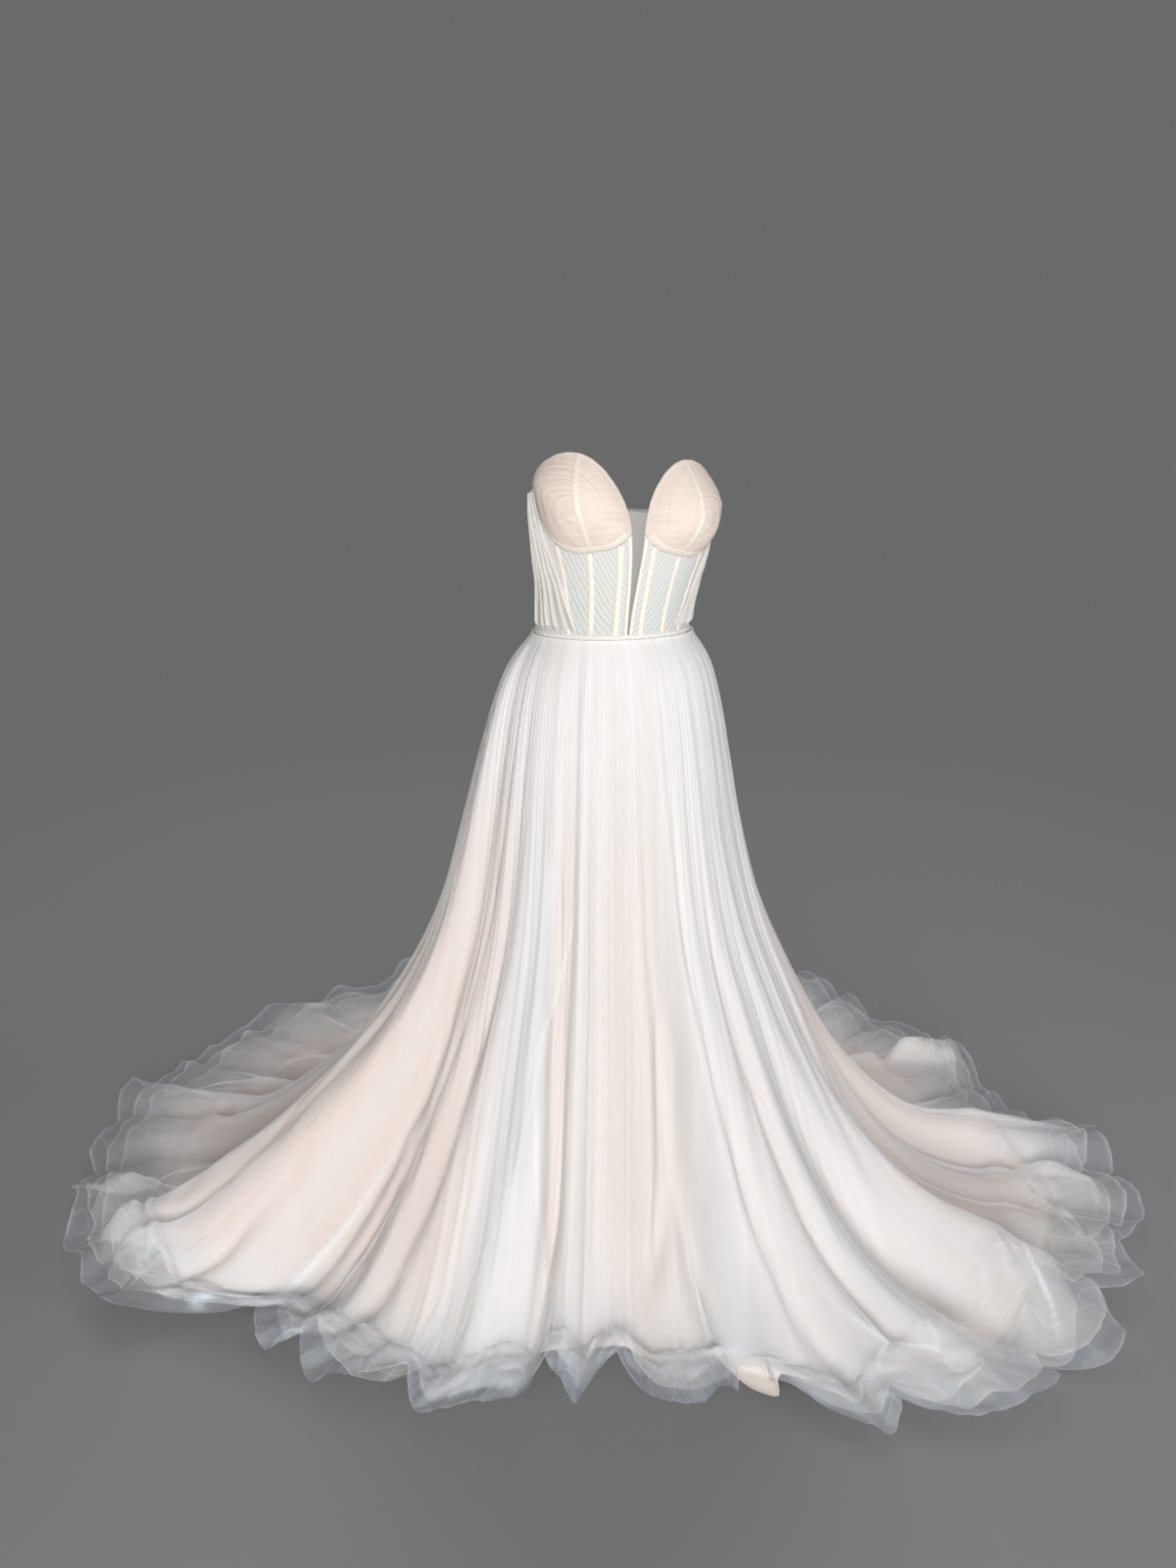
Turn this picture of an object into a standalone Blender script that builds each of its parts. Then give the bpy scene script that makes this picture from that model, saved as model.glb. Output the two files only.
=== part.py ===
"""Strapless wedding gown with a plunging boned bodice, gathered net skirt and round train.

The gown stands open and hollow, as it hangs when it is worn. The frame is in metres, +Z up.
The origin is the middle of the waist seam, the front faces -Y and the wearer's left is +X.
Bearings are degrees round the waist from the front: 90 is the left side, 180 the back.
"""

from collections import namedtuple
from functools import cache
from math import cos, hypot, pi, radians, sin, sqrt

import bmesh
import bpy
import numpy as np
from mathutils import Vector

# ---------------------------------------------------------------- driving sizes
WAIST_HEIGHT = 1.09          # waist seam above the floor
SEAM_GAP = 0.0003            # between pieces that are sewn together
LEAN_DROP = 0.080            # how far the top's left side sits lower, metres a metre across
NET_WALL = 0.0012            # all net layers of the skirt, pressed together
LINING_WALL = 0.0012
PANEL_WALL = 0.0010          # bodice net
CUP_WALL = 0.0030            # moulded foam and its cover
TAPE_WALL = 0.0012           # boning channels and seam tapes
DRAPE_WALL = 0.0010

# ---------------------------------------------------------------- bodice tables
TorsoRing = namedtuple("TorsoRing", "height half_width front_depth back_depth shift")
TORSO = [                    # shift is towards the wearer's left, where the body leans
    TorsoRing(-0.010, 0.131, 0.100, 0.094, 0.0000),
    TorsoRing(0.000, 0.131, 0.100, 0.094, 0.0000),
    TorsoRing(0.040, 0.131, 0.101, 0.096, 0.0035),
    TorsoRing(0.090, 0.136, 0.104, 0.101, 0.0095),
    TorsoRing(0.140, 0.145, 0.108, 0.105, 0.0140),
    TorsoRing(0.190, 0.152, 0.109, 0.108, 0.0150),
    TorsoRing(0.240, 0.151, 0.104, 0.107, 0.0125),
    TorsoRing(0.300, 0.144, 0.090, 0.100, 0.0125),
]
MEAN_RADIUS = 0.152          # turns small distances on the bodice into bearings

Corner = namedtuple("Corner", "bearing height")
CUP_LOWER = [                # underwire line, from the plunge to the underarm
    Corner(4.0, 0.168), Corner(9.5, 0.153), Corner(18.0, 0.141), Corner(30.0, 0.135),
    Corner(41.0, 0.131), Corner(53.0, 0.135), Corner(63.0, 0.148), Corner(70.0, 0.169),
    Corner(75.0, 0.196), Corner(80.0, 0.226),
]
CUP_UPPER = [                # free top edge, from the underarm back to the plunge
    Corner(80.5, 0.241), Corner(76.0, 0.256), Corner(67.0, 0.271), Corner(56.0, 0.283),
    Corner(46.0, 0.289), Corner(36.0, 0.289), Corner(28.0, 0.282), Corner(20.0, 0.267),
    Corner(13.0, 0.244), Corner(8.5, 0.221), Corner(5.4, 0.194),
]
CUP_MIDDLE = Corner(35.5, 0.208)
CUP_DEPTH = 0.038            # how far the cup stands out from the body line
CUP_SEAT = 0.0015            # the cup's edge stands this far out from the body line
CUP_CLEAR = 0.0005           # between the cup's edge and the panels under it
CUP_COLUMNS, CUP_ROWS = 28, 7
TAPE_WIDTH = 0.0085
TAPE_TOP, TAPE_FOOT = 38.0, 32.0    # bearings of the tape down the middle of the cup
TOP_EDGE = [                 # top of the bodice behind the cup
    Corner(80.0, 0.226), Corner(90.0, 0.220), Corner(120.0, 0.206),
    Corner(150.0, 0.192), Corner(180.0, 0.188),
]
BODICE_FOOT = 0.0035         # lower edge of the bodice pieces, just above the waist tape
BODICE_ROWS = 6              # shared by the panels and by what is sewn on them
ON_PANEL = 0.0006            # clearance between a panel and a channel sewn on it

Bone = namedtuple("Bone", "name top foot width")   # bearings at the top and at the waist
BONES = [
    Bone("edge", 5.4, 1.9, 0.0055),
    Bone("inner", 11.2, 9.3, 0.0085),
    Bone("middle", 32.0, 27.5, 0.0085),
    Bone("outer", 58.0, 45.0, 0.0085),
]
PLUNGE_FOOT = 0.9            # bearing of the front edge at the waist
SIDE_SEAM = 90.0
PANEL_SEAM = 0.07            # half the gap at a panel's seam, in degrees
INSET_TOP = 0.204            # top of the sheer inset in the plunge
INSET_DEPTH = (0.0006, 0.0024)    # how far behind the front edges it lies, foot and top

DrapeEdge = namedtuple("DrapeEdge", "share upper_bearing upper_height lower_bearing lower_height")
DRAPE = [                    # gathered net that sweeps from the underarm to the front waist
    DrapeEdge(0.00, 85.5, 0.2220, 98.0, 0.2140),
    DrapeEdge(0.30, 79.0, 0.1660, 96.0, 0.1660),
    DrapeEdge(0.55, 67.0, 0.1180, 94.0, 0.1100),
    DrapeEdge(0.75, 53.0, 0.0750, 92.0, 0.0620),
    DrapeEdge(1.00, 37.0, 0.0045, 90.0, 0.0045),
]
DRAPE_FOLDS = 5
DRAPE_FOLD_HEIGHT = 0.0050

# ---------------------------------------------------------------- skirt tables
Hem = namedtuple("Hem", "bearing reach")           # how far the net's edge lies from the axis
HEM = [
    Hem(-180, 1.390), Hem(-168, 1.260), Hem(-155, 1.185), Hem(-144, 1.125), Hem(-129, 1.080),
    Hem(-115, 1.005), Hem(-103, 0.975), Hem(-93, 0.950), Hem(-85, 0.930), Hem(-79, 0.870),
    Hem(-72, 0.700), Hem(-62, 0.700), Hem(-50, 0.690), Hem(-38, 0.695), Hem(-33, 0.610),
    Hem(-27, 0.585), Hem(-18, 0.560), Hem(-11, 0.545), Hem(-7, 0.600), Hem(0, 0.615),
    Hem(5, 0.605), Hem(9, 0.665), Hem(14, 0.765), Hem(20, 0.815), Hem(27, 0.840),
    Hem(34, 0.885), Hem(42, 0.905), Hem(52, 0.900), Hem(65, 0.915), Hem(80, 0.975),
    Hem(90, 0.965), Hem(97, 0.915), Hem(107, 0.920), Hem(120, 1.030), Hem(130, 1.095),
    Hem(142, 1.215), Hem(158, 1.335), Hem(180, 1.390),
]
Flare = namedtuple("Flare", "drop right_share left_share")   # shares of drop and of flare
FLARE = [
    Flare(0.000, 0.000, 0.000), Flare(0.006, 0.000, 0.000), Flare(0.035, 0.040, 0.040),
    Flare(0.070, 0.077, 0.068), Flare(0.160, 0.120, 0.098), Flare(0.340, 0.190, 0.153),
    Flare(0.470, 0.250, 0.220), Flare(0.600, 0.370, 0.340), Flare(0.780, 0.600, 0.500),
    Flare(0.930, 0.860, 0.750), Flare(0.990, 1.020, 1.000),
]
FLARE_MOST = 0.560           # the skirt meets the floor at most this far out from the waist
FLARE_SIDES = 0.080          # the wearer's right side flares this share more than the left
FLARE_LEFT = 76              # bearing of the side that follows left_share
FLOOR_RUN_LEAST = 0.100      # net that always lies on the floor at the front
FLOOR_BEND = 1.06            # the bend onto the floor ends at this share of the flare

Ridge = namedtuple("Ridge", "bearing height half_width")   # the largest folds of the train
RIDGES = [
    Ridge(-152, 0.045, 13), Ridge(-121, 0.060, 12), Ridge(-88, 0.085, 10), Ridge(-55, 0.030, 8),
    Ridge(28, 0.050, 14), Ridge(52, 0.090, 12), Ridge(92, 0.060, 9), Ridge(117, 0.080, 8),
    Ridge(149, 0.050, 12), Ridge(178, 0.045, 10),
]
Swell = namedtuple("Swell", "run lining_fold net_gap net_fold ridge")
SWELLS = [                   # run is 0 at the waist, 1 at the floor and 2 at the net's edge
    Swell(0.000, 0.0000, 0.0012, 0.0020, 0.00),
    Swell(0.018, 0.0003, 0.0042, 0.0032, 0.00),
    Swell(0.050, 0.0012, 0.0058, 0.0050, 0.00),
    Swell(0.120, 0.0060, 0.0095, 0.0110, 0.00),
    Swell(0.300, 0.0130, 0.0130, 0.0200, 0.00),
    Swell(0.550, 0.0200, 0.0150, 0.0300, 0.08),
    Swell(0.800, 0.0260, 0.0150, 0.0380, 0.50),
    Swell(1.000, 0.0240, 0.0150, 0.0380, 1.00),
    Swell(1.500, 0.0170, 0.0130, 0.0330, 0.70),
    Swell(2.000, 0.0120, 0.0000, 0.0260, 0.22),
]
SkirtPanel = namedtuple("SkirtPanel", "name waist_from waist_to hem_from hem_to folds")
SkirtColumn = namedtuple("SkirtColumn", "share strength height gather")
SKIRT_PANELS = [
    SkirtPanel("front", -90, 90, -81, 90, 15),
    SkirtPanel("back", 90, 270, 90, 279, 21),
]
SkirtWidth = namedtuple("SkirtWidth", "name panel first_fold last_fold")
SKIRT_WIDTHS = [             # widths of cloth, joined side by side at the ridge of a fold
    SkirtWidth("front_right", 0, 0, 5), SkirtWidth("front_centre", 0, 5, 10),
    SkirtWidth("front_left", 0, 10, 15), SkirtWidth("side_left", 1, 0, 5),
    SkirtWidth("back_left", 1, 5, 10), SkirtWidth("back_right", 1, 10, 16),
    SkirtWidth("side_right", 1, 16, 21),
]
NET_PROFILE = (1.0, 0.72, 0.0, 0.72)     # heights across a fold; its flanks make the ridge round
LINING_PROFILE = (1.0, 0.0)
NET_ROWS = [0.0, 0.018, 0.05, 0.12, 0.24, 0.38, 0.53, 0.68, 0.82, 0.93, 1.08, 1.30, 1.62, 2.0]
LINING_ROWS = [0.0, 0.05, 0.12, 0.24, 0.38, 0.53, 0.68, 0.82, 0.93, 1.08, 1.30, 1.62]
LINING_SHORT = (0.085, 0.150)    # how much shorter than the net, at the front and on the train
MEAN_WAIST = 0.115
BEND_SPAN = 0.090            # folds stand out square to the line averaged over this much
GATHER = 0.0026              # small gathers at the waist, two to a fold, gone by GATHER_END
GATHER_END = 0.30
SKIRT_TOP = -0.0042          # just below the waist tape
WAIST_TAPE_HALF = 0.0032
WAIST_TAPE_WALL = 0.0014

COLLECTION = "wedding_gown"


# ---------------------------------------------------------------- helpers
def column(table, name):
    return [getattr(row, name) for row in table]


def along(table, position, name):
    """One column of a table at a position of its first column, in straight steps."""
    return float(np.interp(position, column(table, table[0]._fields[0]), column(table, name)))


def blend(start, end, share):
    return start + (end - start) * share


def material(name, colour, roughness):
    made = bpy.data.materials.new(name)
    made.use_nodes = True
    shader = made.node_tree.nodes["Principled BSDF"]
    shader.inputs["Base Color"].default_value = (*colour, 1.0)
    shader.inputs["Roughness"].default_value = roughness
    shader.inputs["Metallic"].default_value = 0.0
    return made


def cloth(name, finish, place, columns, rows, wall, inside, outward=True, joined=False):
    """A cloth wall. place(across, down) gives its points, both from 0 to 1.

    inside is a point behind the cloth. An outward wall grows away from it, and a joined
    one has edges or a middle that meet.
    """
    shape = bmesh.new()
    bmesh.ops.create_grid(shape, x_segments=columns, y_segments=rows, size=0.5)
    for vertex in shape.verts:
        vertex.co = place(vertex.co.x + 0.5, 0.5 - vertex.co.y)
    if joined:
        bmesh.ops.remove_doubles(shape, verts=shape.verts, dist=1e-6)
    shape.normal_update()
    facing = sum((face.normal * face.calc_area()).dot(face.calc_center_median() - inside)
                 for face in shape.faces)
    if facing < 0:
        bmesh.ops.reverse_faces(shape, faces=shape.faces)
    mesh = bpy.data.meshes.new(name)
    shape.to_mesh(mesh)
    shape.free()
    piece = bpy.data.objects.new(name, mesh)
    gown.objects.link(piece)
    piece.data.materials.append(finish)
    thicken = piece.modifiers.new("wall", "SOLIDIFY")
    thicken.thickness = wall
    thicken.offset = 1.0 if outward else -1.0
    mesh.shade_smooth()
    return piece


# ---------------------------------------------------------------- body line of the bodice
def body_point(bearing, height, out):
    """A point on the body line at this bearing and height, moved out by this much."""
    turn = radians(bearing)
    wide = along(TORSO, height, "half_width")
    side = "front_depth" if cos(turn) > 0 else "back_depth"
    deep = along(TORSO, height, side)
    normal = Vector((deep * sin(turn), -wide * cos(turn), 0.0)).normalized()
    point = Vector((wide * sin(turn), -deep * cos(turn), height)) + normal * out
    tilt = LEAN_DROP * min(max(height, 0.0) / CUP_LOWER[0].height, 1.0)
    return point + Vector((along(TORSO, height, "shift"), 0.0, -tilt * point.x))


def axis_point(height):
    return Vector((along(TORSO, height, "shift"), 0.0, height))


def plunge_bearing(height):
    """Bearing of the front edge beside the plunge, which opens upwards."""
    share = min(height / CUP_LOWER[0].height, 1.0)
    return blend(PLUNGE_FOOT, CUP_LOWER[0].bearing, share)


def panel_top(bearing):
    """Height of the seam under the cup, or of the top edge behind it."""
    line = CUP_LOWER[:1] + cup_edge_corners() + TOP_EDGE
    return along(line, bearing, "height") - CUP_CLEAR


def columns_under_cup(first, last):
    """Shares across a panel whose columns meet the corners of the cup's edge."""
    inner = [corner.bearing for corner in cup_edge_corners()
             if first + 1.5 < corner.bearing < last - 1.5]
    return [(bearing - first) / (last - first) for bearing in [first, *inner, last]]


# ---------------------------------------------------------------- cups
def cup_outline(turn):
    """The cup's edge at a turn from 0 to 1: the underwire first, then the free top edge."""
    edge = CUP_LOWER + CUP_UPPER
    steps = [0.0]
    loop = edge + edge[:1]
    for here, there in zip(loop, loop[1:]):
        wide = radians(there.bearing - here.bearing) * MEAN_RADIUS
        steps.append(steps[-1] + hypot(wide, there.height - here.height))
    at = (turn % 1.0) * steps[-1]
    return Corner(float(np.interp(at, steps, column(loop, "bearing"))),
                  float(np.interp(at, steps, column(loop, "height"))))


@cache
def cup_edge_corners():
    """Where the columns of the cup's grid end along the underwire."""
    corners = [cup_outline(number / CUP_COLUMNS) for number in range(1, CUP_COLUMNS)]
    return [corner for corner in corners[:CUP_COLUMNS // 2]
            if corner.bearing < CUP_LOWER[-1].bearing and corner.height < CUP_MIDDLE.height]


def cup_point(side, turn, spread, out):
    """A point on the cup. spread runs from 0 at its middle to 1 at its edge."""
    edge = cup_outline(turn)
    bearing = blend(CUP_MIDDLE.bearing, edge.bearing, spread)
    height = blend(CUP_MIDDLE.height, edge.height, spread)
    dome = CUP_DEPTH * (1.0 - spread ** 2)
    return side_point(side, bearing, height, CUP_SEAT + dome + out)


def side_point(side, bearing, height, out):
    """body_point on the wearer's left with side 1, or on the right with side -1."""
    return body_point(side * bearing, height, out)


def cup(side, name, finish):
    def place(across, down):
        return cup_point(side, across, down, 0.0)

    middle = axis_point(CUP_MIDDLE.height)
    return cloth(name, finish, place, CUP_COLUMNS, CUP_ROWS, CUP_WALL, middle,
                 outward=False, joined=True)


def cup_column_at(bearing, upper):
    """The column of the cup's grid that ends nearest this bearing, on its upper or lower run."""
    def miss(number):
        edge = cup_outline(number / CUP_COLUMNS)
        wrong_run = (edge.height > CUP_MIDDLE.height) != upper
        return abs(edge.bearing - bearing) + 1000 * wrong_run

    return min(range(CUP_COLUMNS), key=miss)


def cup_seam_tape(side, name, finish):
    """The tape down the middle of the cup, over the seam of its two halves."""
    upper = cup_column_at(TAPE_TOP, True) / CUP_COLUMNS
    lower = cup_column_at(TAPE_FOOT, False) / CUP_COLUMNS
    rows = 2 * CUP_ROWS - 2

    def place(across, down):
        spread = (round(down * rows) + 0.25 * (down == 0.0)) / CUP_ROWS - 1.0
        edge = cup_outline(upper if spread < 0 else lower)
        bearing = blend(CUP_MIDDLE.bearing, edge.bearing, abs(spread))
        height = blend(CUP_MIDDLE.height, edge.height, abs(spread))
        aside = (across - 0.5) * TAPE_WIDTH / MEAN_RADIUS * 180 / pi
        dome = CUP_DEPTH * (1.0 - spread ** 2)
        return side_point(side, bearing + aside, height, CUP_SEAT + dome + ON_PANEL)

    return cloth(name, finish, place, 2, rows, TAPE_WALL, axis_point(CUP_MIDDLE.height))


def underwire_channel(side, name, finish):
    """The wire's channel, on the cup just above its lower edge."""
    columns = cup_column_at(74.0, False)

    def place(across, down):
        turn = round(across * columns) / CUP_COLUMNS
        spread = blend(1.0 - 1.0 / CUP_ROWS, 0.985, down)
        return cup_point(side, turn, spread, ON_PANEL)

    return cloth(name, finish, place, columns, 1, TAPE_WALL, axis_point(CUP_MIDDLE.height))


# ---------------------------------------------------------------- bodice panels
def bone_bearing(bone, height, top_height):
    share = min(max(height / top_height, 0.0), 1.0)
    return blend(bone.foot, bone.top, share ** 1.4)


def front_panel(side, name, finish):
    """Net from the plunge to the seam under the middle bone."""
    bone = BONES[2]
    shares = columns_under_cup(CUP_LOWER[0].bearing, bone.top)

    def place(across, down):
        share = shares[round(across * (len(shares) - 1))]
        top = panel_top(blend(CUP_LOWER[0].bearing, bone.top, share))
        height = blend(top, BODICE_FOOT, down)
        seam = bone_bearing(bone, height, panel_top(bone.top)) - PANEL_SEAM
        return side_point(side, blend(plunge_bearing(height), seam, share), height, 0.0)

    return cloth(name, finish, place, len(shares) - 1, BODICE_ROWS, PANEL_WALL,
                 axis_point(0.09))


def side_panel(side, name, finish):
    """Net from the seam under the middle bone to the side seam."""
    bone = BONES[2]
    shares = columns_under_cup(bone.top, SIDE_SEAM)

    def place(across, down):
        share = shares[round(across * (len(shares) - 1))]
        top = panel_top(blend(bone.top, SIDE_SEAM, share))
        height = blend(top, BODICE_FOOT, down)
        seam = bone_bearing(bone, height, panel_top(bone.top)) + PANEL_SEAM
        return side_point(side, blend(seam, SIDE_SEAM - PANEL_SEAM, share), height, 0.0)

    return cloth(name, finish, place, len(shares) - 1, BODICE_ROWS, PANEL_WALL,
                 axis_point(0.09))


def back_panel(side, name, finish):
    """Net from the side seam to the centre back seam."""
    def place(across, down):
        bearing = blend(SIDE_SEAM + PANEL_SEAM, 180.0 - PANEL_SEAM, across)
        height = blend(panel_top(bearing), BODICE_FOOT, down)
        return side_point(side, bearing, height, 0.0)

    return cloth(name, finish, place, 10, BODICE_ROWS, PANEL_WALL, axis_point(0.09))


def bone_channel(side, bone, name, finish):
    """A stitched channel on the outside of the net, from the cup down to the waist."""
    top_height = panel_top(bone.top) - 0.0012
    half = bone.width / 2

    def place(across, down):
        height = blend(top_height, BODICE_FOOT + SEAM_GAP, down)
        wide = along(TORSO, height, "front_depth") * 1.1
        aside = (across - 0.5) * 2 * half / wide * 180 / pi
        bearing = bone_bearing(bone, height, top_height) + aside
        height = min(height, panel_top(bearing) - 0.0012)
        return side_point(side, bearing, height, PANEL_WALL + ON_PANEL)

    return cloth(name, finish, place, 1, BODICE_ROWS, TAPE_WALL, axis_point(0.09))


def side_drape(side, name, finish):
    """Loose gathered net over the side of the bodice, its folds running down and forward."""
    over = PANEL_WALL + TAPE_WALL + 2 * ON_PANEL

    def place(across, down):
        upper = (along(DRAPE, down, "upper_bearing"), along(DRAPE, down, "upper_height"))
        lower = (along(DRAPE, down, "lower_bearing"), along(DRAPE, down, "lower_height"))
        bearing = blend(upper[0], lower[0], across)
        height = blend(upper[1], lower[1], across)
        wave = 0.5 - 0.5 * cos(2 * pi * DRAPE_FOLDS * across)
        swell = 0.30 + 0.70 * sin(pi * min(down, 0.8))
        return side_point(side, bearing, height, over + DRAPE_FOLD_HEIGHT * wave * swell)

    return cloth(name, finish, place, 4 * DRAPE_FOLDS, BODICE_ROWS, DRAPE_WALL, axis_point(0.12))


def plunge_inset(name, finish):
    """Sheer net behind the plunge, held under both front edges."""
    under = 0.006

    def place(across, down):
        height = blend(INSET_TOP, BODICE_FOOT, down)
        half = plunge_bearing(min(height, CUP_LOWER[0].height))
        half += under / along(TORSO, height, "front_depth") * 180 / pi
        depth = blend(*INSET_DEPTH, height / INSET_TOP)
        return body_point(blend(-half, half, across), height, -depth)

    return cloth(name, finish, place, 4, 5, PANEL_WALL, axis_point(0.1), outward=False)


def waist_tape(name, finish):
    """The narrow tape that joins the bodice to the skirt."""
    def place(across, down):
        return body_point(360.0 * across, blend(WAIST_TAPE_HALF, -WAIST_TAPE_HALF, down), 0.0)

    return cloth(name, finish, place, 40, 1, WAIST_TAPE_WALL, axis_point(0.0), joined=True)


# ---------------------------------------------------------------- skirt
def hem_reach(bearing):
    return float(np.interp(bearing, column(HEM, "bearing"), column(HEM, "reach"), period=360))


def ridge_height(bearing):
    """Height of the large folds of the train at this bearing."""
    height = 0.0
    for ridge in RIDGES:
        away = (bearing - ridge.bearing + 180.0) % 360.0 - 180.0
        if abs(away) < ridge.half_width:
            height += ridge.height * (0.5 + 0.5 * cos(pi * away / ridge.half_width))
    return height


def round_corners(points, passes):
    """Cuts the corners of an open line, so that it bends smoothly and never overshoots."""
    for _ in range(passes):
        first, last = points[:1], points[-1:]
        near = 0.75 * points[:-1] + 0.25 * points[1:]
        far = 0.25 * points[:-1] + 0.75 * points[1:]
        cut = np.stack([near, far], axis=1).reshape(-1, 2)
        points = np.concatenate([first, cut[1:-1], last])
    return points


def skirt_line(bearing, waist_radius):
    """Side view of the skirt at this bearing: distance from the waist and height, by run."""
    run_end = hem_reach(bearing) - waist_radius
    left = 0.5 + 0.5 * cos(radians(bearing - FLARE_LEFT))
    flare = min(FLARE_MOST * (1.0 - FLARE_SIDES * (2 * left - 1)),
                (run_end - FLOOR_RUN_LEAST) / FLOOR_BEND)
    fall = WAIST_HEIGHT + SKIRT_TOP
    points = [(flare * blend(row.right_share, row.left_share, left), SKIRT_TOP - fall * row.drop)
              for row in FLARE]
    for share in (0.25, 0.5, 0.75, 1.0):
        points.append((blend(flare * FLOOR_BEND, run_end, share), -WAIST_HEIGHT))
    line = round_corners(np.array(points), 2)
    steps = np.concatenate([[0.0], np.cumsum(np.hypot(*np.diff(line, axis=0).T))])
    floor_at = float(np.interp(flare * FLOOR_BEND, line[:, 0], steps))
    runs = np.interp(steps, [0.0, floor_at, steps[-1]], [0.0, 1.0, 2.0])
    return line, steps, runs


def fold_edges(panel):
    """Shares of the panel's width at which its folds begin, unevenly spaced."""
    widths = [1.0 + 0.28 * sin(1.9 * k + panel.folds) + 0.18 * sin(4.7 * k)
              for k in range(panel.folds)]
    edges = np.concatenate([[0.0], np.cumsum(widths)])
    return edges / edges[-1]


def fold_strength(panel, count):
    return 0.90 + 0.32 * sin(2.3 * count + panel.folds) + 0.18 * sin(5.1 * count + 1.0)


def skirt_point(panel, across, run, swell_out, seam_shift):
    """A point of the skirt: across the panel and down its run, moved out from its line."""
    waist_bearing = blend(panel.waist_from, panel.waist_to, across)
    hem_bearing = blend(panel.hem_from, panel.hem_to, across)
    waist = body_point(waist_bearing, 0.0, 0.0)
    radius = hypot(waist.x, waist.y)
    line, steps, runs = skirt_line(hem_bearing, radius)
    at = float(np.interp(run, runs, steps))
    out, height = (float(np.interp(at, steps, line[:, k])) for k in (0, 1))
    span = blend(0.006, BEND_SPAN, min(run, 1.0))
    ahead, behind = min(at + span, steps[-1]), max(at - span, 0.0)
    rise = np.array([np.interp(ahead, steps, line[:, k]) - np.interp(behind, steps, line[:, k])
                     for k in (0, 1)])
    rise = rise / np.hypot(*rise)
    turn = radians(hem_bearing)
    hem = hem_reach(hem_bearing) * Vector((sin(turn), -cos(turn), 0.0))
    waist.z = 0.0
    away = (hem - waist).normalized()
    stretch = (hem - waist).length / (hem_reach(hem_bearing) - radius)
    point = waist + away * (out * stretch + swell_out * -rise[1])
    point.z = height + swell_out * rise[0]
    aside = Vector((-away.y, away.x, 0.0))
    return point + aside * seam_shift


def skirt_columns(panel, per_fold, profile):
    """A column for each step over each fold, with ridges at the panel's seams."""
    edges = fold_edges(panel)
    columns = []
    for count in range(panel.folds):
        for step in range(per_fold):
            share = blend(edges[count], edges[count + 1], step / per_fold)
            gather = (per_fold == 4) * (step % 2 == 0)
            columns.append(SkirtColumn(share, fold_strength(panel, count), profile[step], gather))
    last = SkirtColumn(1.0, fold_strength(panel, 0), profile[0], columns[0].gather)
    return columns + [last]


def skirt_wall(width, name, finish, profile, rows, wall, outline):
    """outline(panel, column, row) gives the run of a point and how far the wall stands out."""
    panel, per_fold = SKIRT_PANELS[width.panel], len(profile)
    columns = skirt_columns(panel, per_fold, profile)
    columns = columns[width.first_fold * per_fold:width.last_fold * per_fold + 1]
    last = len(columns) - 1

    def place(across, down):
        number = round(across * last)
        column_at = columns[number]
        run, out = outline(panel, column_at, rows[round(down * (len(rows) - 1))])
        shift = {0: SEAM_GAP / 2, last: -SEAM_GAP / 2}.get(number, 0.0)
        return skirt_point(panel, column_at.share, run, out, shift)

    return cloth(name, finish, place, last, len(rows) - 1, wall, Vector((0, 0, -3)))


def swell_at(panel, column_at, run, fold_name):
    fold = along(SWELLS, run, fold_name) * column_at.height * column_at.strength
    hem_bearing = blend(panel.hem_from, panel.hem_to, column_at.share)
    return fold + ridge_height(hem_bearing) * along(SWELLS, run, "ridge")


def net_outline(panel, column_at, row_at):
    gather = GATHER * column_at.gather * max(1.0 - row_at / GATHER_END, 0.0)
    over_lining = along(SWELLS, row_at, "net_gap")
    return row_at, swell_at(panel, column_at, row_at, "net_fold") + over_lining + gather


def lining_outline(panel, column_at, row_at):
    """The lining ends short of the net, by more on the train than at the front."""
    hem_bearing = blend(panel.hem_from, panel.hem_to, column_at.share)
    reach = hem_reach(hem_bearing)
    line, steps, runs = skirt_line(hem_bearing, MEAN_WAIST)
    short = float(np.interp(reach, [0.56, 1.0], LINING_SHORT))
    end = float(np.interp(steps[-1] - short, steps, runs))
    run = row_at if row_at < 1.0 else blend(1.0, end, (row_at - 1.0) / (LINING_ROWS[-1] - 1.0))
    return run, swell_at(panel, column_at, run, "lining_fold")


# ---------------------------------------------------------------- the gown
for old in list(bpy.data.objects):
    bpy.data.objects.remove(old)
gown = bpy.data.collections.new(COLLECTION)
bpy.context.scene.collection.children.link(gown)

ivory_net = material("ivory_net", (0.90, 0.87, 0.83), 0.8)
bodice_net = material("bodice_net", (0.84, 0.85, 0.85), 0.8)
sheer_net = material("sheer_net", (0.55, 0.56, 0.57), 0.8)
blush_satin = material("blush_satin", (0.87, 0.75, 0.68), 0.45)
blush_cup = material("blush_cup", (0.88, 0.80, 0.73), 0.7)
cream_tape = material("cream_tape", (0.90, 0.84, 0.75), 0.6)

for side, hand in ((1, "left"), (-1, "right")):
    cup(side, f"cup_{hand}", blush_cup)
    cup_seam_tape(side, f"cup_seam_tape_{hand}", cream_tape)
    underwire_channel(side, f"underwire_channel_{hand}", cream_tape)
    front_panel(side, f"front_panel_{hand}", bodice_net)
    side_panel(side, f"side_panel_{hand}", bodice_net)
    back_panel(side, f"back_panel_{hand}", bodice_net)
    side_drape(side, f"side_drape_{hand}", bodice_net)
    for bone in BONES:
        bone_channel(side, bone, f"bone_{bone.name}_{hand}", cream_tape)

plunge_inset("plunge_inset", sheer_net)
waist_tape("waist_tape", ivory_net)

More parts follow.
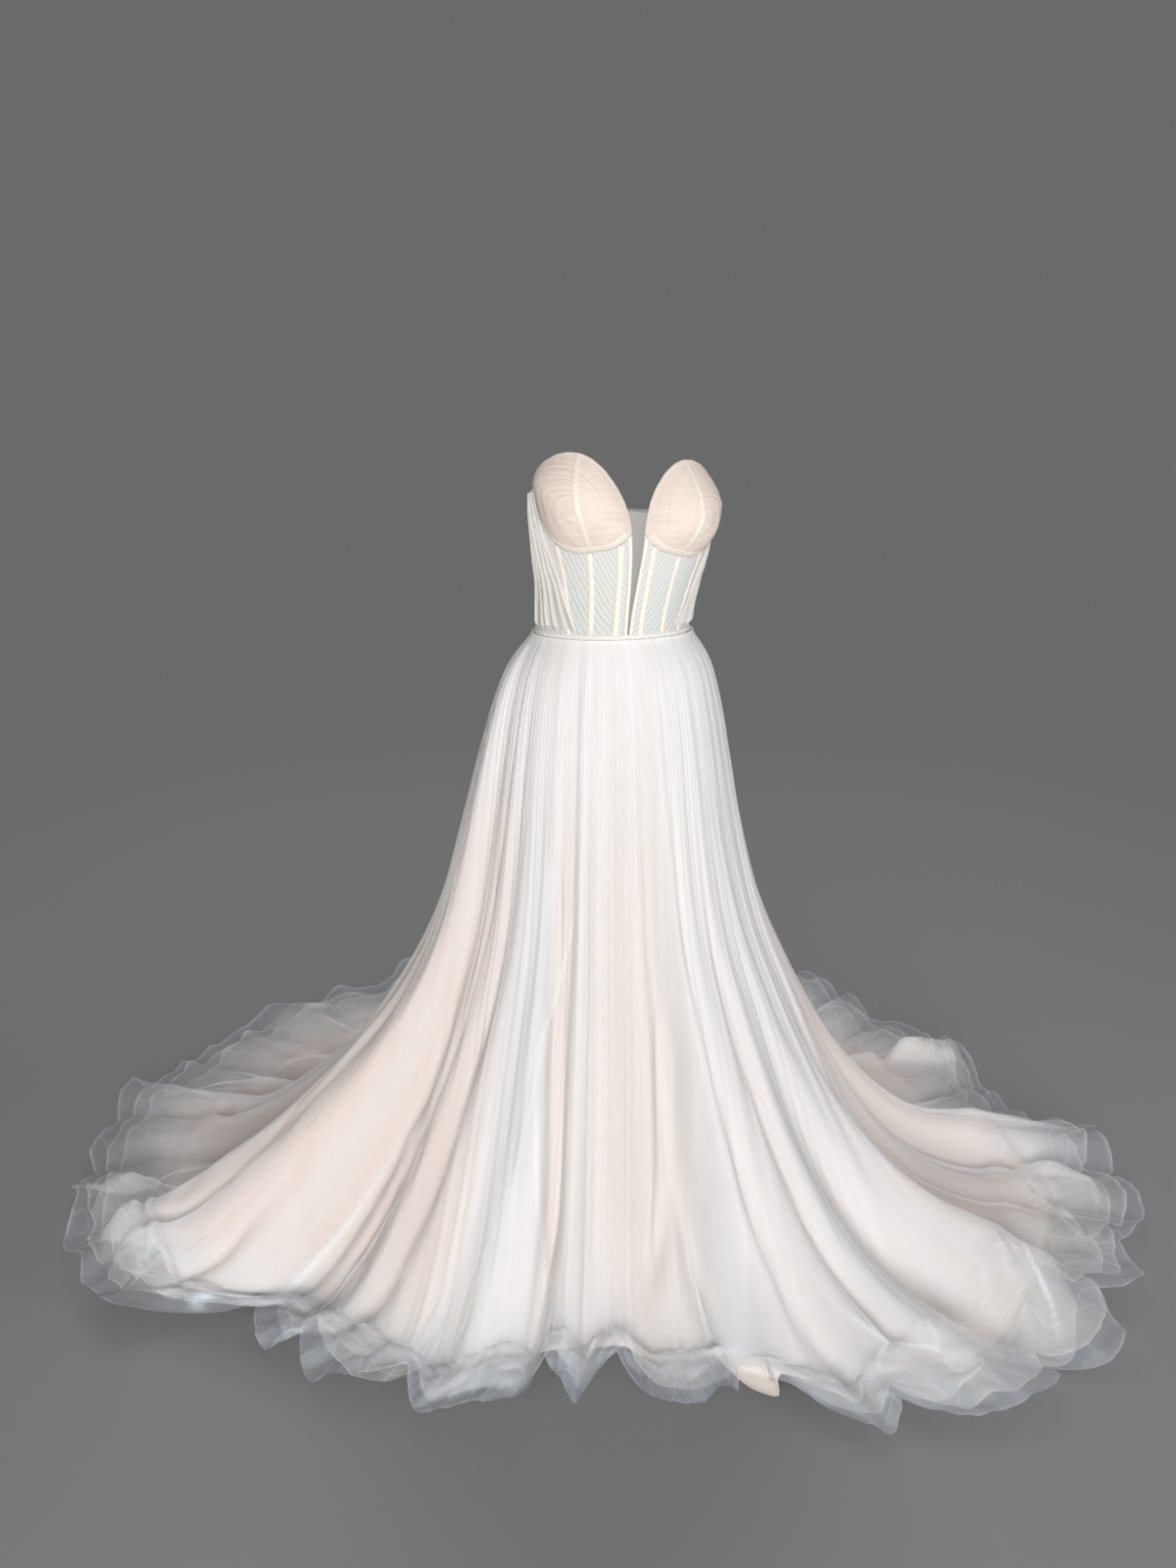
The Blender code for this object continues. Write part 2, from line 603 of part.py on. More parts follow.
for width in SKIRT_WIDTHS:
    skirt_wall(width, f"lining_{width.name}", blush_satin, LINING_PROFILE, LINING_ROWS,
               LINING_WALL, lining_outline)
    skirt_wall(width, f"net_{width.name}", ivory_net, NET_PROFILE, NET_ROWS,
               NET_WALL, net_outline)
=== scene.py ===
# %% [markdown]
# # A strapless wedding gown with a boned bodice and a net skirt
# The gown is cloth from top to floor: two moulded cups, fine net over a boned bodice, and many
# layers of gathered net over a blush satin underskirt. The CAD model already gives its sizes, so
# each piece here follows the same named sizes and tables, with the finer folds that cloth has.

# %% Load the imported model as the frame
from collections import namedtuple
from math import cos, hypot, pi, radians, sin

import bpy
import numpy as np
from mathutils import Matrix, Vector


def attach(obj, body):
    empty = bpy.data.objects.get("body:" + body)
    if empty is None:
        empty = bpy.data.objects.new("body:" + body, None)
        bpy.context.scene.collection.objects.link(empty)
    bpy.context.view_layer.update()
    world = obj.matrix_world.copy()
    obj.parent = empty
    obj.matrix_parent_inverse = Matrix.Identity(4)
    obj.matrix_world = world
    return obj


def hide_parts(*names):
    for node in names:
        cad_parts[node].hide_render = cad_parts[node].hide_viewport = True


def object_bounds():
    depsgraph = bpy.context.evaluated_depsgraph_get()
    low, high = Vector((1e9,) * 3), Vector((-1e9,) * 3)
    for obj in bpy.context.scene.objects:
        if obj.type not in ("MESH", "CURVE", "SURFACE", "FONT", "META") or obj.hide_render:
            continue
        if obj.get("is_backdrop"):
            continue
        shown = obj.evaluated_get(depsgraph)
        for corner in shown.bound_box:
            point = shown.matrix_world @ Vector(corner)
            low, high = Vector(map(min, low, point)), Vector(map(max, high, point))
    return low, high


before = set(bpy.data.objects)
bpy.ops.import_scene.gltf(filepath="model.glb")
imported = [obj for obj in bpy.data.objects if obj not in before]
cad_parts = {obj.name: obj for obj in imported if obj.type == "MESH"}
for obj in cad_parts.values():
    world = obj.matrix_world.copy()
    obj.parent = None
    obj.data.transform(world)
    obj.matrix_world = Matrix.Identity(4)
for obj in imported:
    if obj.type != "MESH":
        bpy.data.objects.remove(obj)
cad_low, cad_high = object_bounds()
bpy.ops.object.select_all(action="DESELECT")
WAIST_HEIGHT = 1.09                  # the waist seam above the floor; the origin is at the waist
print("CAD nodes:", len(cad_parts), "box:", [round(c, 3) for c in (*cad_low, *cad_high)])

# %% [markdown]
# ## Camera
# The photograph was taken from a little above the waist, from the wearer's right, tilted down.
# A camera fitted to the gown's outline and to its train on the floor gives the same view.

# %% Camera
CAMERA_PLACE = (-0.7652, -2.9011, 0.51)
CAMERA_TILT, CAMERA_TURN = 75.37, -14.0          # degrees
camera_data = bpy.data.cameras.new("view_camera")
camera_data.lens, camera_data.sensor_width, camera_data.clip_end = 41.27, 36.0, 60.0
view_camera = bpy.data.objects.new("view_camera", camera_data)
view_camera.location = CAMERA_PLACE
view_camera.rotation_euler = (radians(CAMERA_TILT), 0.0, radians(CAMERA_TURN))
bpy.context.scene.collection.objects.link(view_camera)
bpy.context.scene.camera = view_camera
print("camera at", CAMERA_PLACE)

# %% [markdown]
# ## Floor and light
# The floor is one wide disc. Its paint fades out far from the gown, so that the floor runs into
# the plain air behind without a horizon. First come small helpers for building materials: a
# `Finish` is a material being made, and a `Signal` is what one of its nodes gives.


# %% Nodes for plain and patterned finishes
class Signal:
    """What a node gives. Arithmetic with a number from a node adds the math nodes it needs."""

    def __init__(self, finish, socket):
        self.finish, self.socket = finish, socket

    def maths(self, operation, other=0.0):
        return self.finish.add("Math", operation=operation, i0=self, i1=other)

    def __add__(self, other):
        return self.maths("ADD", other)

    def __sub__(self, other):
        return self.maths("SUBTRACT", other)

    def __mul__(self, other):
        return self.maths("MULTIPLY", other)

    def __abs__(self):
        return self.maths("ABSOLUTE")

    def clamped(self):
        """The same number, kept from 0 to 1 by the math node that gives it."""
        self.socket.node.use_clamp = True
        return self


class Finish:
    """A material being made. Patterns lie on the flat cloth, whose UV map is in metres."""

    def __init__(self, name):
        self.material = bpy.data.materials.new(name)
        self.material.use_nodes = True
        self.tree = self.material.node_tree
        self.tree.nodes.clear()

    def add(self, kind, out=0, **values):
        """Adds a node. Names in lower case are settings, and others and i0, i1... are sockets."""
        node = self.tree.nodes.new("ShaderNode" + kind)
        for name, value in values.items():
            by_number = name[1:].isdigit()
            if name.islower() and not by_number:
                setattr(node, name, value)
                continue
            socket = node.inputs[int(name[1:]) if by_number else name.replace("_", " ")]
            if isinstance(value, Signal):
                self.tree.links.new(value.socket, socket)
            else:
                socket.default_value = (*value, 1.0) if socket.type == "RGBA" else value
        return Signal(self, node.outputs[out])

    def mix(self, share, first, second):
        return self.add("Mix", out=2, data_type="RGBA", i0=share, i6=first, i7=second)

    def mark(self, name):
        """A number that the mesh keeps at each of its points."""
        return self.add("Attribute", out="Fac", attribute_name=name)

    def noise(self, across, down, detail, seed, roughness=0.55):
        """Noise on the flat cloth with this many waves a metre across and down."""
        placed = self.add("Mapping", Vector=self.add("UVMap"), Scale=(across, down, 1.0),
                          Location=(seed * 3.7, seed * 1.9, 0.0))
        return self.add("TexNoise", Vector=placed, Scale=1.0, Detail=detail, Roughness=roughness)

    def along(self, axis):
        """Metres on the flat cloth: across it on axis 0 and down it on axis 1."""
        return self.add("SeparateXYZ", out=axis, Vector=self.add("UVMap"))

    def holes(self, pitch):
        """Rows of holes on the flat cloth, from 0 in a hole to 1 on a thread."""
        across, down = [(self.along(axis) * (2 * pi / pitch)).maths("SINE") for axis in (0, 1)]
        return across * down * 0.5 + 0.5

    def done(self, shader):
        output = self.tree.nodes.new("ShaderNodeOutputMaterial")
        self.tree.links.new(shader.socket, output.inputs["Surface"])
        return self.material

    def cloth(self, colour, roughness, specular, relief=None, glow=0.0, cover=None, sheen=0.0):
        """Ends a finish as cloth. relief is a height with the strength and depth of its bump,
        glow the share of light that shines through, and cover the share that the cloth stops."""
        lit = {"Base_Color": colour, "Roughness": roughness, "Specular_IOR_Level": specular}
        if relief:
            height, strength, depth = relief
            lit["Normal"] = self.add("Bump", Strength=strength, Distance=depth, Height=height)
        shader = self.add("BsdfPrincipled", Sheen_Weight=sheen, **lit)
        if glow:
            through = self.add("BsdfTranslucent", Color=colour)
            shader = self.add("MixShader", i0=glow, i1=shader, i2=through)
        if cover:
            shader = self.add("MixShader", i0=cover, i1=self.add("BsdfTransparent"), i2=shader)
        return self.done(shader)


def srgb(red, green, blue):
    """A colour as seen on a screen, 0 to 255, turned into the linear one that a shader takes."""
    return tuple((c / 255 / 12.92) if c < 10.3 else ((c / 255 + 0.055) / 1.055) ** 2.4
                 for c in (red, green, blue))


print("a mid grey is", [round(c, 3) for c in srgb(128, 128, 128)])

# %% Floor
FLOOR_RADIUS, FLOOR_FADE = 12.0, (0.8, 4.8)      # the paint fades between these distances
FLOOR_DARK, FLOOR_PALE = srgb(130, 130, 131), srgb(134, 134, 135)


def floor_finish():
    """Matt paint with faint clouds, which fades out far from the gown."""
    finish = Finish("floor_paint")
    place = finish.add("TexCoord", out="Object")
    away = finish.add("VectorMath", out="Value", operation="LENGTH", i0=place)
    shown = finish.add("MapRange", interpolation_type="SMOOTHSTEP", Value=away,
                       From_Min=FLOOR_FADE[0], From_Max=FLOOR_FADE[1], To_Min=1.0, To_Max=0.0)
    cloud = finish.add("TexNoise", Vector=place, Scale=0.7, Detail=1.0)
    paint = finish.add("BsdfDiffuse", Color=finish.mix(cloud, FLOOR_DARK, FLOOR_PALE))
    return finish.done(finish.add("MixShader", i0=shown, i1=finish.add("BsdfTransparent"), i2=paint))


bpy.ops.mesh.primitive_circle_add(vertices=96, radius=FLOOR_RADIUS, fill_type="NGON",
                                  location=(0, 0, -WAIST_HEIGHT - 0.001))
floor = bpy.context.object
floor.name = "pale_floor"
bpy.ops.object.transform_apply(location=True)
floor.data.materials.append(floor_finish())
floor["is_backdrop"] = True
bpy.ops.object.select_all(action="DESELECT")
print("floor at", round(floor.data.vertices[0].co.z, 3))

# %% Soft studio light
Lamp = namedtuple("Lamp", "name place aim wide high power colour")
LAMPS = [
    Lamp("front_softbox", (-1.5, -5.3, 0.25), (0.1, 0.0, -0.35), 3.4, 1.9, 335, (1.0, 0.990, 0.975)),
    Lamp("side_softbox", (4.2, -2.6, 0.6), (0.0, 0.2, -0.3), 2.2, 2.2, 80, (0.96, 0.975, 1.0)),
    Lamp("back_softbox", (1.2, 5.0, 3.9), (0.0, 0.3, -0.5), 2.6, 2.2, 165, (1.0, 0.99, 0.98)),
    Lamp("top_softbox", (0.2, 1.6, 4.2), (0.0, 1.0, -0.8), 3.2, 3.2, 40, (1.0, 1.0, 1.0)),
]
for lamp in LAMPS:
    light_data = bpy.data.lights.new(lamp.name, "AREA")
    light_data.shape, light_data.size, light_data.size_y = "ELLIPSE", lamp.wide, lamp.high
    light_data.energy, light_data.color = lamp.power, lamp.colour
    light = bpy.data.objects.new(lamp.name, light_data)
    light.location = lamp.place
    reach = [b - a for a, b in zip(lamp.place, lamp.aim)]
    light.rotation_euler = (np.arctan2(hypot(reach[0], reach[1]), -reach[2]), 0.0,
                            np.arctan2(-reach[0], reach[1]))
    bpy.context.scene.collection.objects.link(light)
studio_air = bpy.data.worlds.new("studio_air")
studio_air.use_nodes = True
air = studio_air.node_tree.nodes["Background"]
air.inputs["Color"].default_value = (0.98, 0.99, 1.0, 1.0)
air.inputs["Strength"].default_value = 0.145
bpy.context.scene.world = studio_air
bpy.context.scene.view_settings.view_transform = "Standard"
light_paths = bpy.context.scene.cycles
light_paths.transparent_max_bounces, light_paths.max_bounces = 24, 8
light_paths.diffuse_bounces, light_paths.glossy_bounces = 5, 1
print("lamps:", [lamp.name for lamp in LAMPS])

# %% [markdown]
# ## The body line
# Every piece of the bodice lies on one smooth form, given by rings: half width, front depth,
# back depth and a shift to the side where the body leans. Between rings a plain straight step
# would leave creases, so values are averaged over a short window.

# %% Rings of the body line
TorsoRing = namedtuple("TorsoRing", "height half_width front_depth back_depth shift")
TORSO = [TorsoRing(*row) for row in (
    (-0.010, 0.131, 0.100, 0.094, 0.0000),
    (0.000, 0.131, 0.100, 0.094, 0.0000),
    (0.040, 0.131, 0.101, 0.096, 0.0035),
    (0.090, 0.136, 0.104, 0.101, 0.0095),
    (0.140, 0.145, 0.108, 0.105, 0.0140),
    (0.190, 0.152, 0.109, 0.108, 0.0150),
    (0.240, 0.151, 0.104, 0.107, 0.0125),
    (0.300, 0.144, 0.090, 0.100, 0.0125),
)]
LEAN_DROP = 0.080                    # the top's left side sits lower, metres a metre across
LEAN_FROM = 0.168
MEAN_RADIUS = 0.152                  # turns small distances on the bodice into bearings


def column(table, name):
    return [getattr(row, name) for row in table]


def along(table, position, name, window=0.0, period=None):
    """One column of a table at positions of its first column, averaged over a window."""
    places, values = column(table, table[0]._fields[0]), column(table, name)
    shifts = np.linspace(-window, window, 5) if window else [0.0]
    return sum(np.interp(np.asarray(position) + shift, places, values, period=period)
               for shift in shifts) / len(shifts)


def blend(start, end, share):
    return start + (end - start) * share


def wrap(bearing):
    """The same bearing, from -180 to 180."""
    return (bearing + 180.0) % 360.0 - 180.0


def body_points(bearing, height, out):
    """Points on the body line at bearings and heights, moved out square to it."""
    bearing, height, out = np.broadcast_arrays(np.asarray(bearing, float), height, out)
    turn = np.radians(bearing)
    wide = along(TORSO, height, "half_width", 0.012)
    share = np.clip(0.5 + 6 * np.cos(turn), 0, 1)
    deep = blend(along(TORSO, height, "back_depth", 0.012), along(TORSO, height, "front_depth", 0.012),
                 share)
    across, back = deep * np.sin(turn), -wide * np.cos(turn)
    size = np.hypot(across, back)
    x = wide * np.sin(turn) + across / size * out
    y = -deep * np.cos(turn) + back / size * out
    tilt = LEAN_DROP * np.clip(height / LEAN_FROM, 0, 1)
    return np.stack([x + along(TORSO, height, "shift", 0.012), y, height - tilt * x], axis=-1)


print("waist round:", round(float(np.sum(np.linalg.norm(np.diff(body_points(
    np.linspace(0, 360, 181), 0.0, 0.0), axis=0), axis=1))), 3), "m")

# %% [markdown]
# ## Cloth from rows and columns
# Cloth is easiest to describe as a grid of points: rows run round the body, columns run down it.
# The grid keeps a UV map in metres of flat cloth, so that threads, pleats and streaks follow the
# cloth and not the room. Numbers that a finish needs, such as how tightly the net is gathered,
# are kept at each point as attributes.


# %% Lay a grid of points as cloth
def lay_cloth(name, points, flat, finish, marks=None, loop=False, outward=True):
    """points and flat are rows x columns arrays. loop joins the last column to the first."""
    rows, columns = points.shape[:2]
    number = np.arange(rows * columns).reshape(rows, columns)
    nearer, further = number, np.roll(number, -1, axis=1)
    last = columns if loop else columns - 1
    corners = [nearer[:-1, :last], nearer[1:, :last], further[1:, :last], further[:-1, :last]]
    quads = np.stack(corners if outward else corners[::-1], axis=-1).reshape(-1, 4)
    mesh = bpy.data.meshes.new(name)
    mesh.from_pydata(points.reshape(-1, 3).tolist(), [], quads.tolist())
    at_corner = np.zeros(len(mesh.loops), int)
    mesh.loops.foreach_get("vertex_index", at_corner)
    spread = np.array(flat, float).reshape(-1, 2)[at_corner]
    if loop:                         # the last face ends at the far side of the flat cloth
        closing = np.arange(len(quads)) % last == last - 1
        seam = (at_corner % columns == 0) & np.repeat(closing, 4)
        wide = flat[..., 0].max() - flat[..., 0].min()
        spread[seam, 0] += wide * columns / (columns - 1)
    mesh.uv_layers.new(name="flat_cloth").data.foreach_set("uv", spread.ravel())
    for mark, values in (marks or {}).items():
        held = mesh.attributes.new(mark, "FLOAT", "POINT")
        spread_out = np.broadcast_to(values, (rows, columns)).astype(np.float32)
        held.data.foreach_set("value", spread_out.ravel())
    mesh.shade_smooth()
    mesh.materials.append(finish)
    piece = bpy.data.objects.new(name, mesh)
    bpy.context.scene.collection.objects.link(piece)
    return piece


def stand_for(piece, slot, *nodes):
    """The piece rides on the gown's one body, in the place of these CAD nodes, which it hides. slot is
    not used.
    """
    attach(piece, "root")
    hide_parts(*nodes)


def line_length(points):
    return float(np.sum(np.linalg.norm(np.diff(points, axis=0), axis=1)))


def length_along(points):
    """Distance from the first point at each point of a line."""
    return np.concatenate([[0.0], np.cumsum(np.linalg.norm(np.diff(points, axis=0), axis=1))])


def cloth_area(points):
    """Area of a grid of points, in square metres."""
    a, b = points[1:, 1:] - points[:-1, :-1], points[1:, :-1] - points[:-1, 1:]
    return float(np.sum(np.linalg.norm(np.cross(a, b), axis=-1)) / 2)


def waves(place, seed, count=6, growth=1.55):
    """Uneven waves from -1 to 1: a sum of sines whose lengths share no common step."""
    chance = np.random.default_rng(seed)
    total, weights = 0.0, 0.0
    for step in range(count):
        weight = growth ** (-0.6 * step)
        pace = growth ** step * chance.uniform(0.85, 1.15)
        total = total + weight * np.sin(pace * np.asarray(place) + chance.uniform(0, 2 * pi))
        weights += weight
    return total / weights * 1.6


def crumples(u, v, seed, count=9):
    """Uneven soft lumps over a sheet: waves in many directions that bend each other."""
    chance = np.random.default_rng(seed)
    total = 0.0
    bend = waves(u * 0.7 + v * 0.4, seed + 50) * 0.8
    for step in range(count):
        turn, pace = chance.uniform(0, pi), chance.uniform(0.7, 2.2)
        total = total + np.sin(pace * (u * cos(turn) + v * sin(turn)) + bend
                               + chance.uniform(0, 2 * pi)) / count ** 0.5
    return total


def ease(value, start, end):
    """0 before start and 1 after end, with a soft change between."""
    share = np.clip((np.asarray(value, float) - start) / (end - start), 0, 1)
    return share * share * (3 - 2 * share)


print("a test strip is", round(cloth_area(np.zeros((2, 2, 3)) + np.array(
    [[[0, 0, 0], [1, 0, 0]], [[0, 0, 1], [1, 0, 1]]])), 2), "square metres")

# %% [markdown]
# ## The skirt's lines
# A side view of the skirt at each bearing is one line: it leaves the waist, flares, bends onto
# the floor and runs out to the hem. The run is 0 at the waist, 1 where it meets the floor and 2
# at the net's edge. The lining and all the net layers share these lines, so they stay nested.

# %% Tables of the skirt
Hem = namedtuple("Hem", "bearing reach")
HEM = [Hem(*row) for row in (
    (-180, 1.390), (-168, 1.260), (-155, 1.185), (-144, 1.125), (-129, 1.080),
    (-115, 1.005), (-103, 0.975), (-93, 0.950), (-85, 0.930), (-79, 0.870),
    (-72, 0.700), (-62, 0.700), (-50, 0.690), (-38, 0.695), (-33, 0.610),
    (-27, 0.585), (-18, 0.560), (-11, 0.545), (-7, 0.600), (0, 0.615),
    (5, 0.605), (9, 0.665), (14, 0.765), (20, 0.815), (27, 0.840),
    (34, 0.885), (42, 0.905), (52, 0.900), (65, 0.915), (80, 0.975),
    (90, 0.965), (97, 0.915), (107, 0.920), (120, 1.030), (130, 1.095),
    (142, 1.215), (158, 1.335), (180, 1.390),
)]
Flare = namedtuple("Flare", "drop right_share left_share")
FLARE = [Flare(*row) for row in (
    (0.000, 0.000, 0.000), (0.006, 0.000, 0.000), (0.035, 0.040, 0.040),
    (0.070, 0.077, 0.068), (0.160, 0.120, 0.098), (0.340, 0.190, 0.153),
    (0.470, 0.250, 0.220), (0.600, 0.370, 0.340), (0.780, 0.600, 0.500),
    (0.930, 0.860, 0.750), (0.990, 1.020, 1.000),
)]
FLARE_MOST, FLARE_SIDES, FLARE_LEFT = 0.560, 0.080, 76
FLOOR_RUN_LEAST, FLOOR_BEND, BEND_SPAN = 0.100, 1.06, 0.090
SKIRT_TOP = -0.0042
Ridge = namedtuple("Ridge", "bearing height half_width")
RIDGES = [Ridge(*row) for row in (
    (-152, 0.045, 13), (-121, 0.060, 12), (-88, 0.085, 10), (-55, 0.030, 8),
    (28, 0.050, 14), (52, 0.090, 12), (92, 0.060, 9), (117, 0.080, 8),
    (149, 0.050, 12), (178, 0.045, 10),
)]
Swell = namedtuple("Swell", "run lining_fold net_gap net_fold ridge")
SWELLS = [Swell(*row) for row in (
    (0.000, 0.0000, 0.0012, 0.0020, 0.00), (0.018, 0.0003, 0.0042, 0.0032, 0.00),
    (0.050, 0.0012, 0.0058, 0.0050, 0.00), (0.120, 0.0060, 0.0095, 0.0110, 0.00),
    (0.300, 0.0130, 0.0130, 0.0200, 0.00), (0.550, 0.0200, 0.0150, 0.0300, 0.08),
    (0.800, 0.0260, 0.0150, 0.0380, 0.50), (1.000, 0.0240, 0.0150, 0.0380, 1.00),
    (1.500, 0.0170, 0.0130, 0.0330, 0.70), (2.000, 0.0120, 0.0000, 0.0260, 0.22),
)]
SkirtPanel = namedtuple("SkirtPanel", "name waist_from waist_to hem_from hem_to folds")
SKIRT_PANELS = [SkirtPanel("front", -90, 90, -81, 90, 15), SkirtPanel("back", 90, 270, 90, 279, 21)]
LINING_SHORT = (0.100, 0.165)        # how much shorter than the net, at the front and on the train
print("the train reaches", max(row.reach for row in HEM), "m behind the waist")


# %% Side view of the skirt at one bearing
HEM_WINDOW = 1.6                     # degrees over which the hem's outline is rounded
MEAN_WAIST = 0.115                   # mean radius of the waist


def hem_reach(bearing):
    """How far the net's edge lies from the waist."""
    return along(HEM, bearing, "reach", HEM_WINDOW, period=360)


def ridge_height(bearing):
    height = 0.0
    for ridge in RIDGES:
        away = wrap(bearing - ridge.bearing)
        height = height + (np.abs(away) < ridge.half_width) * ridge.height * (
            0.5 + 0.5 * np.cos(pi * away / ridge.half_width))
    return height


def round_corners(points, passes):
    for _ in range(passes):
        near = 0.75 * points[:-1] + 0.25 * points[1:]
        far = 0.25 * points[:-1] + 0.75 * points[1:]
        cut = np.stack([near, far], axis=1).reshape(-1, 2)
        points = np.concatenate([points[:1], cut[1:-1], points[-1:]])
    return points


def skirt_line(bearing, waist_radius):
    """Distance from the waist and height, with the length along the line and the run."""
    run_end = float(hem_reach(bearing)) - waist_radius
    left = 0.5 + 0.5 * cos(radians(bearing - FLARE_LEFT))
    flare = min(FLARE_MOST * (1.0 - FLARE_SIDES * (2 * left - 1)),
                (run_end - FLOOR_RUN_LEAST) / FLOOR_BEND)
    fall = WAIST_HEIGHT + SKIRT_TOP
    points = [(flare * blend(row.right_share, row.left_share, left), SKIRT_TOP - fall * row.drop)
              for row in FLARE]
    for share in (0.25, 0.5, 0.75, 1.0):
        points.append((blend(flare * FLOOR_BEND, run_end, share), -WAIST_HEIGHT))
    line = round_corners(np.array(points), 3)
    steps = np.concatenate([[0.0], np.cumsum(np.hypot(*np.diff(line, axis=0).T))])
    floor_at = float(np.interp(flare * FLOOR_BEND, line[:, 0], steps))
    runs = np.interp(steps, [0.0, floor_at, steps[-1]], [0.0, 1.0, 2.0])
    return line, steps, runs


SkirtLines = namedtuple("SkirtLines", "waist away out height rise length")


def skirt_lines(panel, shares, runs):
    """The line at each share across a panel, read at rows x columns of runs, past 2 as well."""
    hem_bearing = blend(panel.hem_from, panel.hem_to, shares)
    waist = body_points(blend(panel.waist_from, panel.waist_to, shares), 0.0, 0.0)
    waist[:, 2] = 0.0
    radius = np.hypot(waist[:, 0], waist[:, 1])
    turn = np.radians(hem_bearing)
    hem = hem_reach(hem_bearing)[:, None] * np.stack([np.sin(turn), -np.cos(turn), 0 * turn], -1)
    span = np.linalg.norm(hem - waist, axis=1)
    away = (hem - waist) / span[:, None]
    out, height, length = np.zeros_like(runs), np.zeros_like(runs), np.zeros_like(runs)
    rise = np.zeros(runs.shape + (2,))
    for number, bearing in enumerate(hem_bearing):
        line, steps, line_runs = skirt_line(bearing, radius[number])
        run = runs[:, number]
        end = float(steps[-1] - np.interp(1.0, line_runs, steps))
        past = np.clip(run - 2.0, 0, None) * end
        at = np.interp(run, line_runs, steps)
        stretch = span[number] / (hem_reach(bearing) - radius[number])
        out[:, number] = (np.interp(at, steps, line[:, 0]) + past) * stretch
        height[:, number] = np.interp(at, steps, line[:, 1])
        length[:, number] = at + past
        reach = blend(0.006, BEND_SPAN, np.minimum(run, 1.0))
        ahead, behind = np.minimum(at + reach, steps[-1]), np.maximum(at - reach, 0.0)
        for k in (0, 1):
            rise[:, number, k] = (np.interp(ahead, steps, line[:, k])
                                  - np.interp(behind, steps, line[:, k]))
    rise /= np.linalg.norm(rise, axis=-1, keepdims=True)
    return SkirtLines(waist, away, out, height, rise, length)


def place_on_lines(lines, swell):
    """Points of the skirt, moved out square to its lines by swell."""
    points = lines.waist[None] + lines.away[None] * (lines.out - swell * lines.rise[..., 1])[..., None]
    points[..., 2] = lines.height + swell * lines.rise[..., 0]
    return points


print("front line:", len(skirt_line(0.0, 0.1)[0]), "points")

# %% [markdown]
# ## Folds
# The skirt has 36 main folds, 15 in front and 21 behind, of uneven width and depth. A fold in
# soft net has a round ridge and a narrow valley. Between them lie smaller folds that start as
# gathers at the waist and fade downwards, and new small waves that appear towards the hem.


# %% Fold shapes
def fold_widths(panel):
    widths = [1.0 + 0.28 * sin(1.9 * k + panel.folds) + 0.18 * sin(4.7 * k) for k in range(panel.folds)]
    edges = np.concatenate([[0.0], np.cumsum(widths)])
    return edges / edges[-1]


def fold_strength(panel, count):
    count = count % panel.folds
    return 0.90 + 0.32 * np.sin(2.3 * count + panel.folds) + 0.18 * np.sin(5.1 * count + 1.0)


def main_folds(panel, shares, runs, seed, sharpness):
    """Height of the main folds, from 0 in a valley to about 1 on a ridge."""
    edges = fold_widths(panel)
    place = np.interp(shares, edges, np.arange(panel.folds + 1))[None, :] + 0 * runs
    sway = 0.10 * waves(place * 1.7 + runs * 2.1, seed) * ease(runs, 0.1, 0.9)
    sway *= np.minimum(shares, 1 - shares)[None, :].clip(0, 0.03) / 0.03
    place = place + sway
    count, phase = np.floor(place), place % 1.0
    strength = np.where(phase < 0.5, fold_strength(panel, count), fold_strength(panel, count + 1))
    return strength * (1.0 - np.abs(np.sin(pi * phase)) ** sharpness)


NET_SHARPNESS, LINING_SHARPNESS = 3.67, 2.0      # high where a ridge is broad and a valley narrow
NET_FOLD_SHARE = (0.50, 0.92)        # of the tabled folds, where the net hangs and where it lies
CALM_AT, CALM_SPREAD = 42.0, 26.0    # bearings where the cloth is smoother, over a large fold
CALM_NET, CALM_LINING = 0.58, 0.6
LEAST_FOLD_SHARE = 0.08
LINING_SEED = 11


def calmness(bearing):
    """How much smoother the cloth is here, from 0 to 1."""
    return np.exp(-((bearing[None] - CALM_AT) / CALM_SPREAD) ** 2)


def lining_folds(panel, bearing, shares, runs):
    part = main_folds(panel, shares, runs, LINING_SEED, LINING_SHARPNESS)
    return along(SWELLS, runs, "lining_fold", 0.02) * part * (1 - CALM_LINING * calmness(bearing))


def train_ridges(bearing, runs):
    return ridge_height(bearing)[None] * along(SWELLS, runs, "ridge", 0.03)


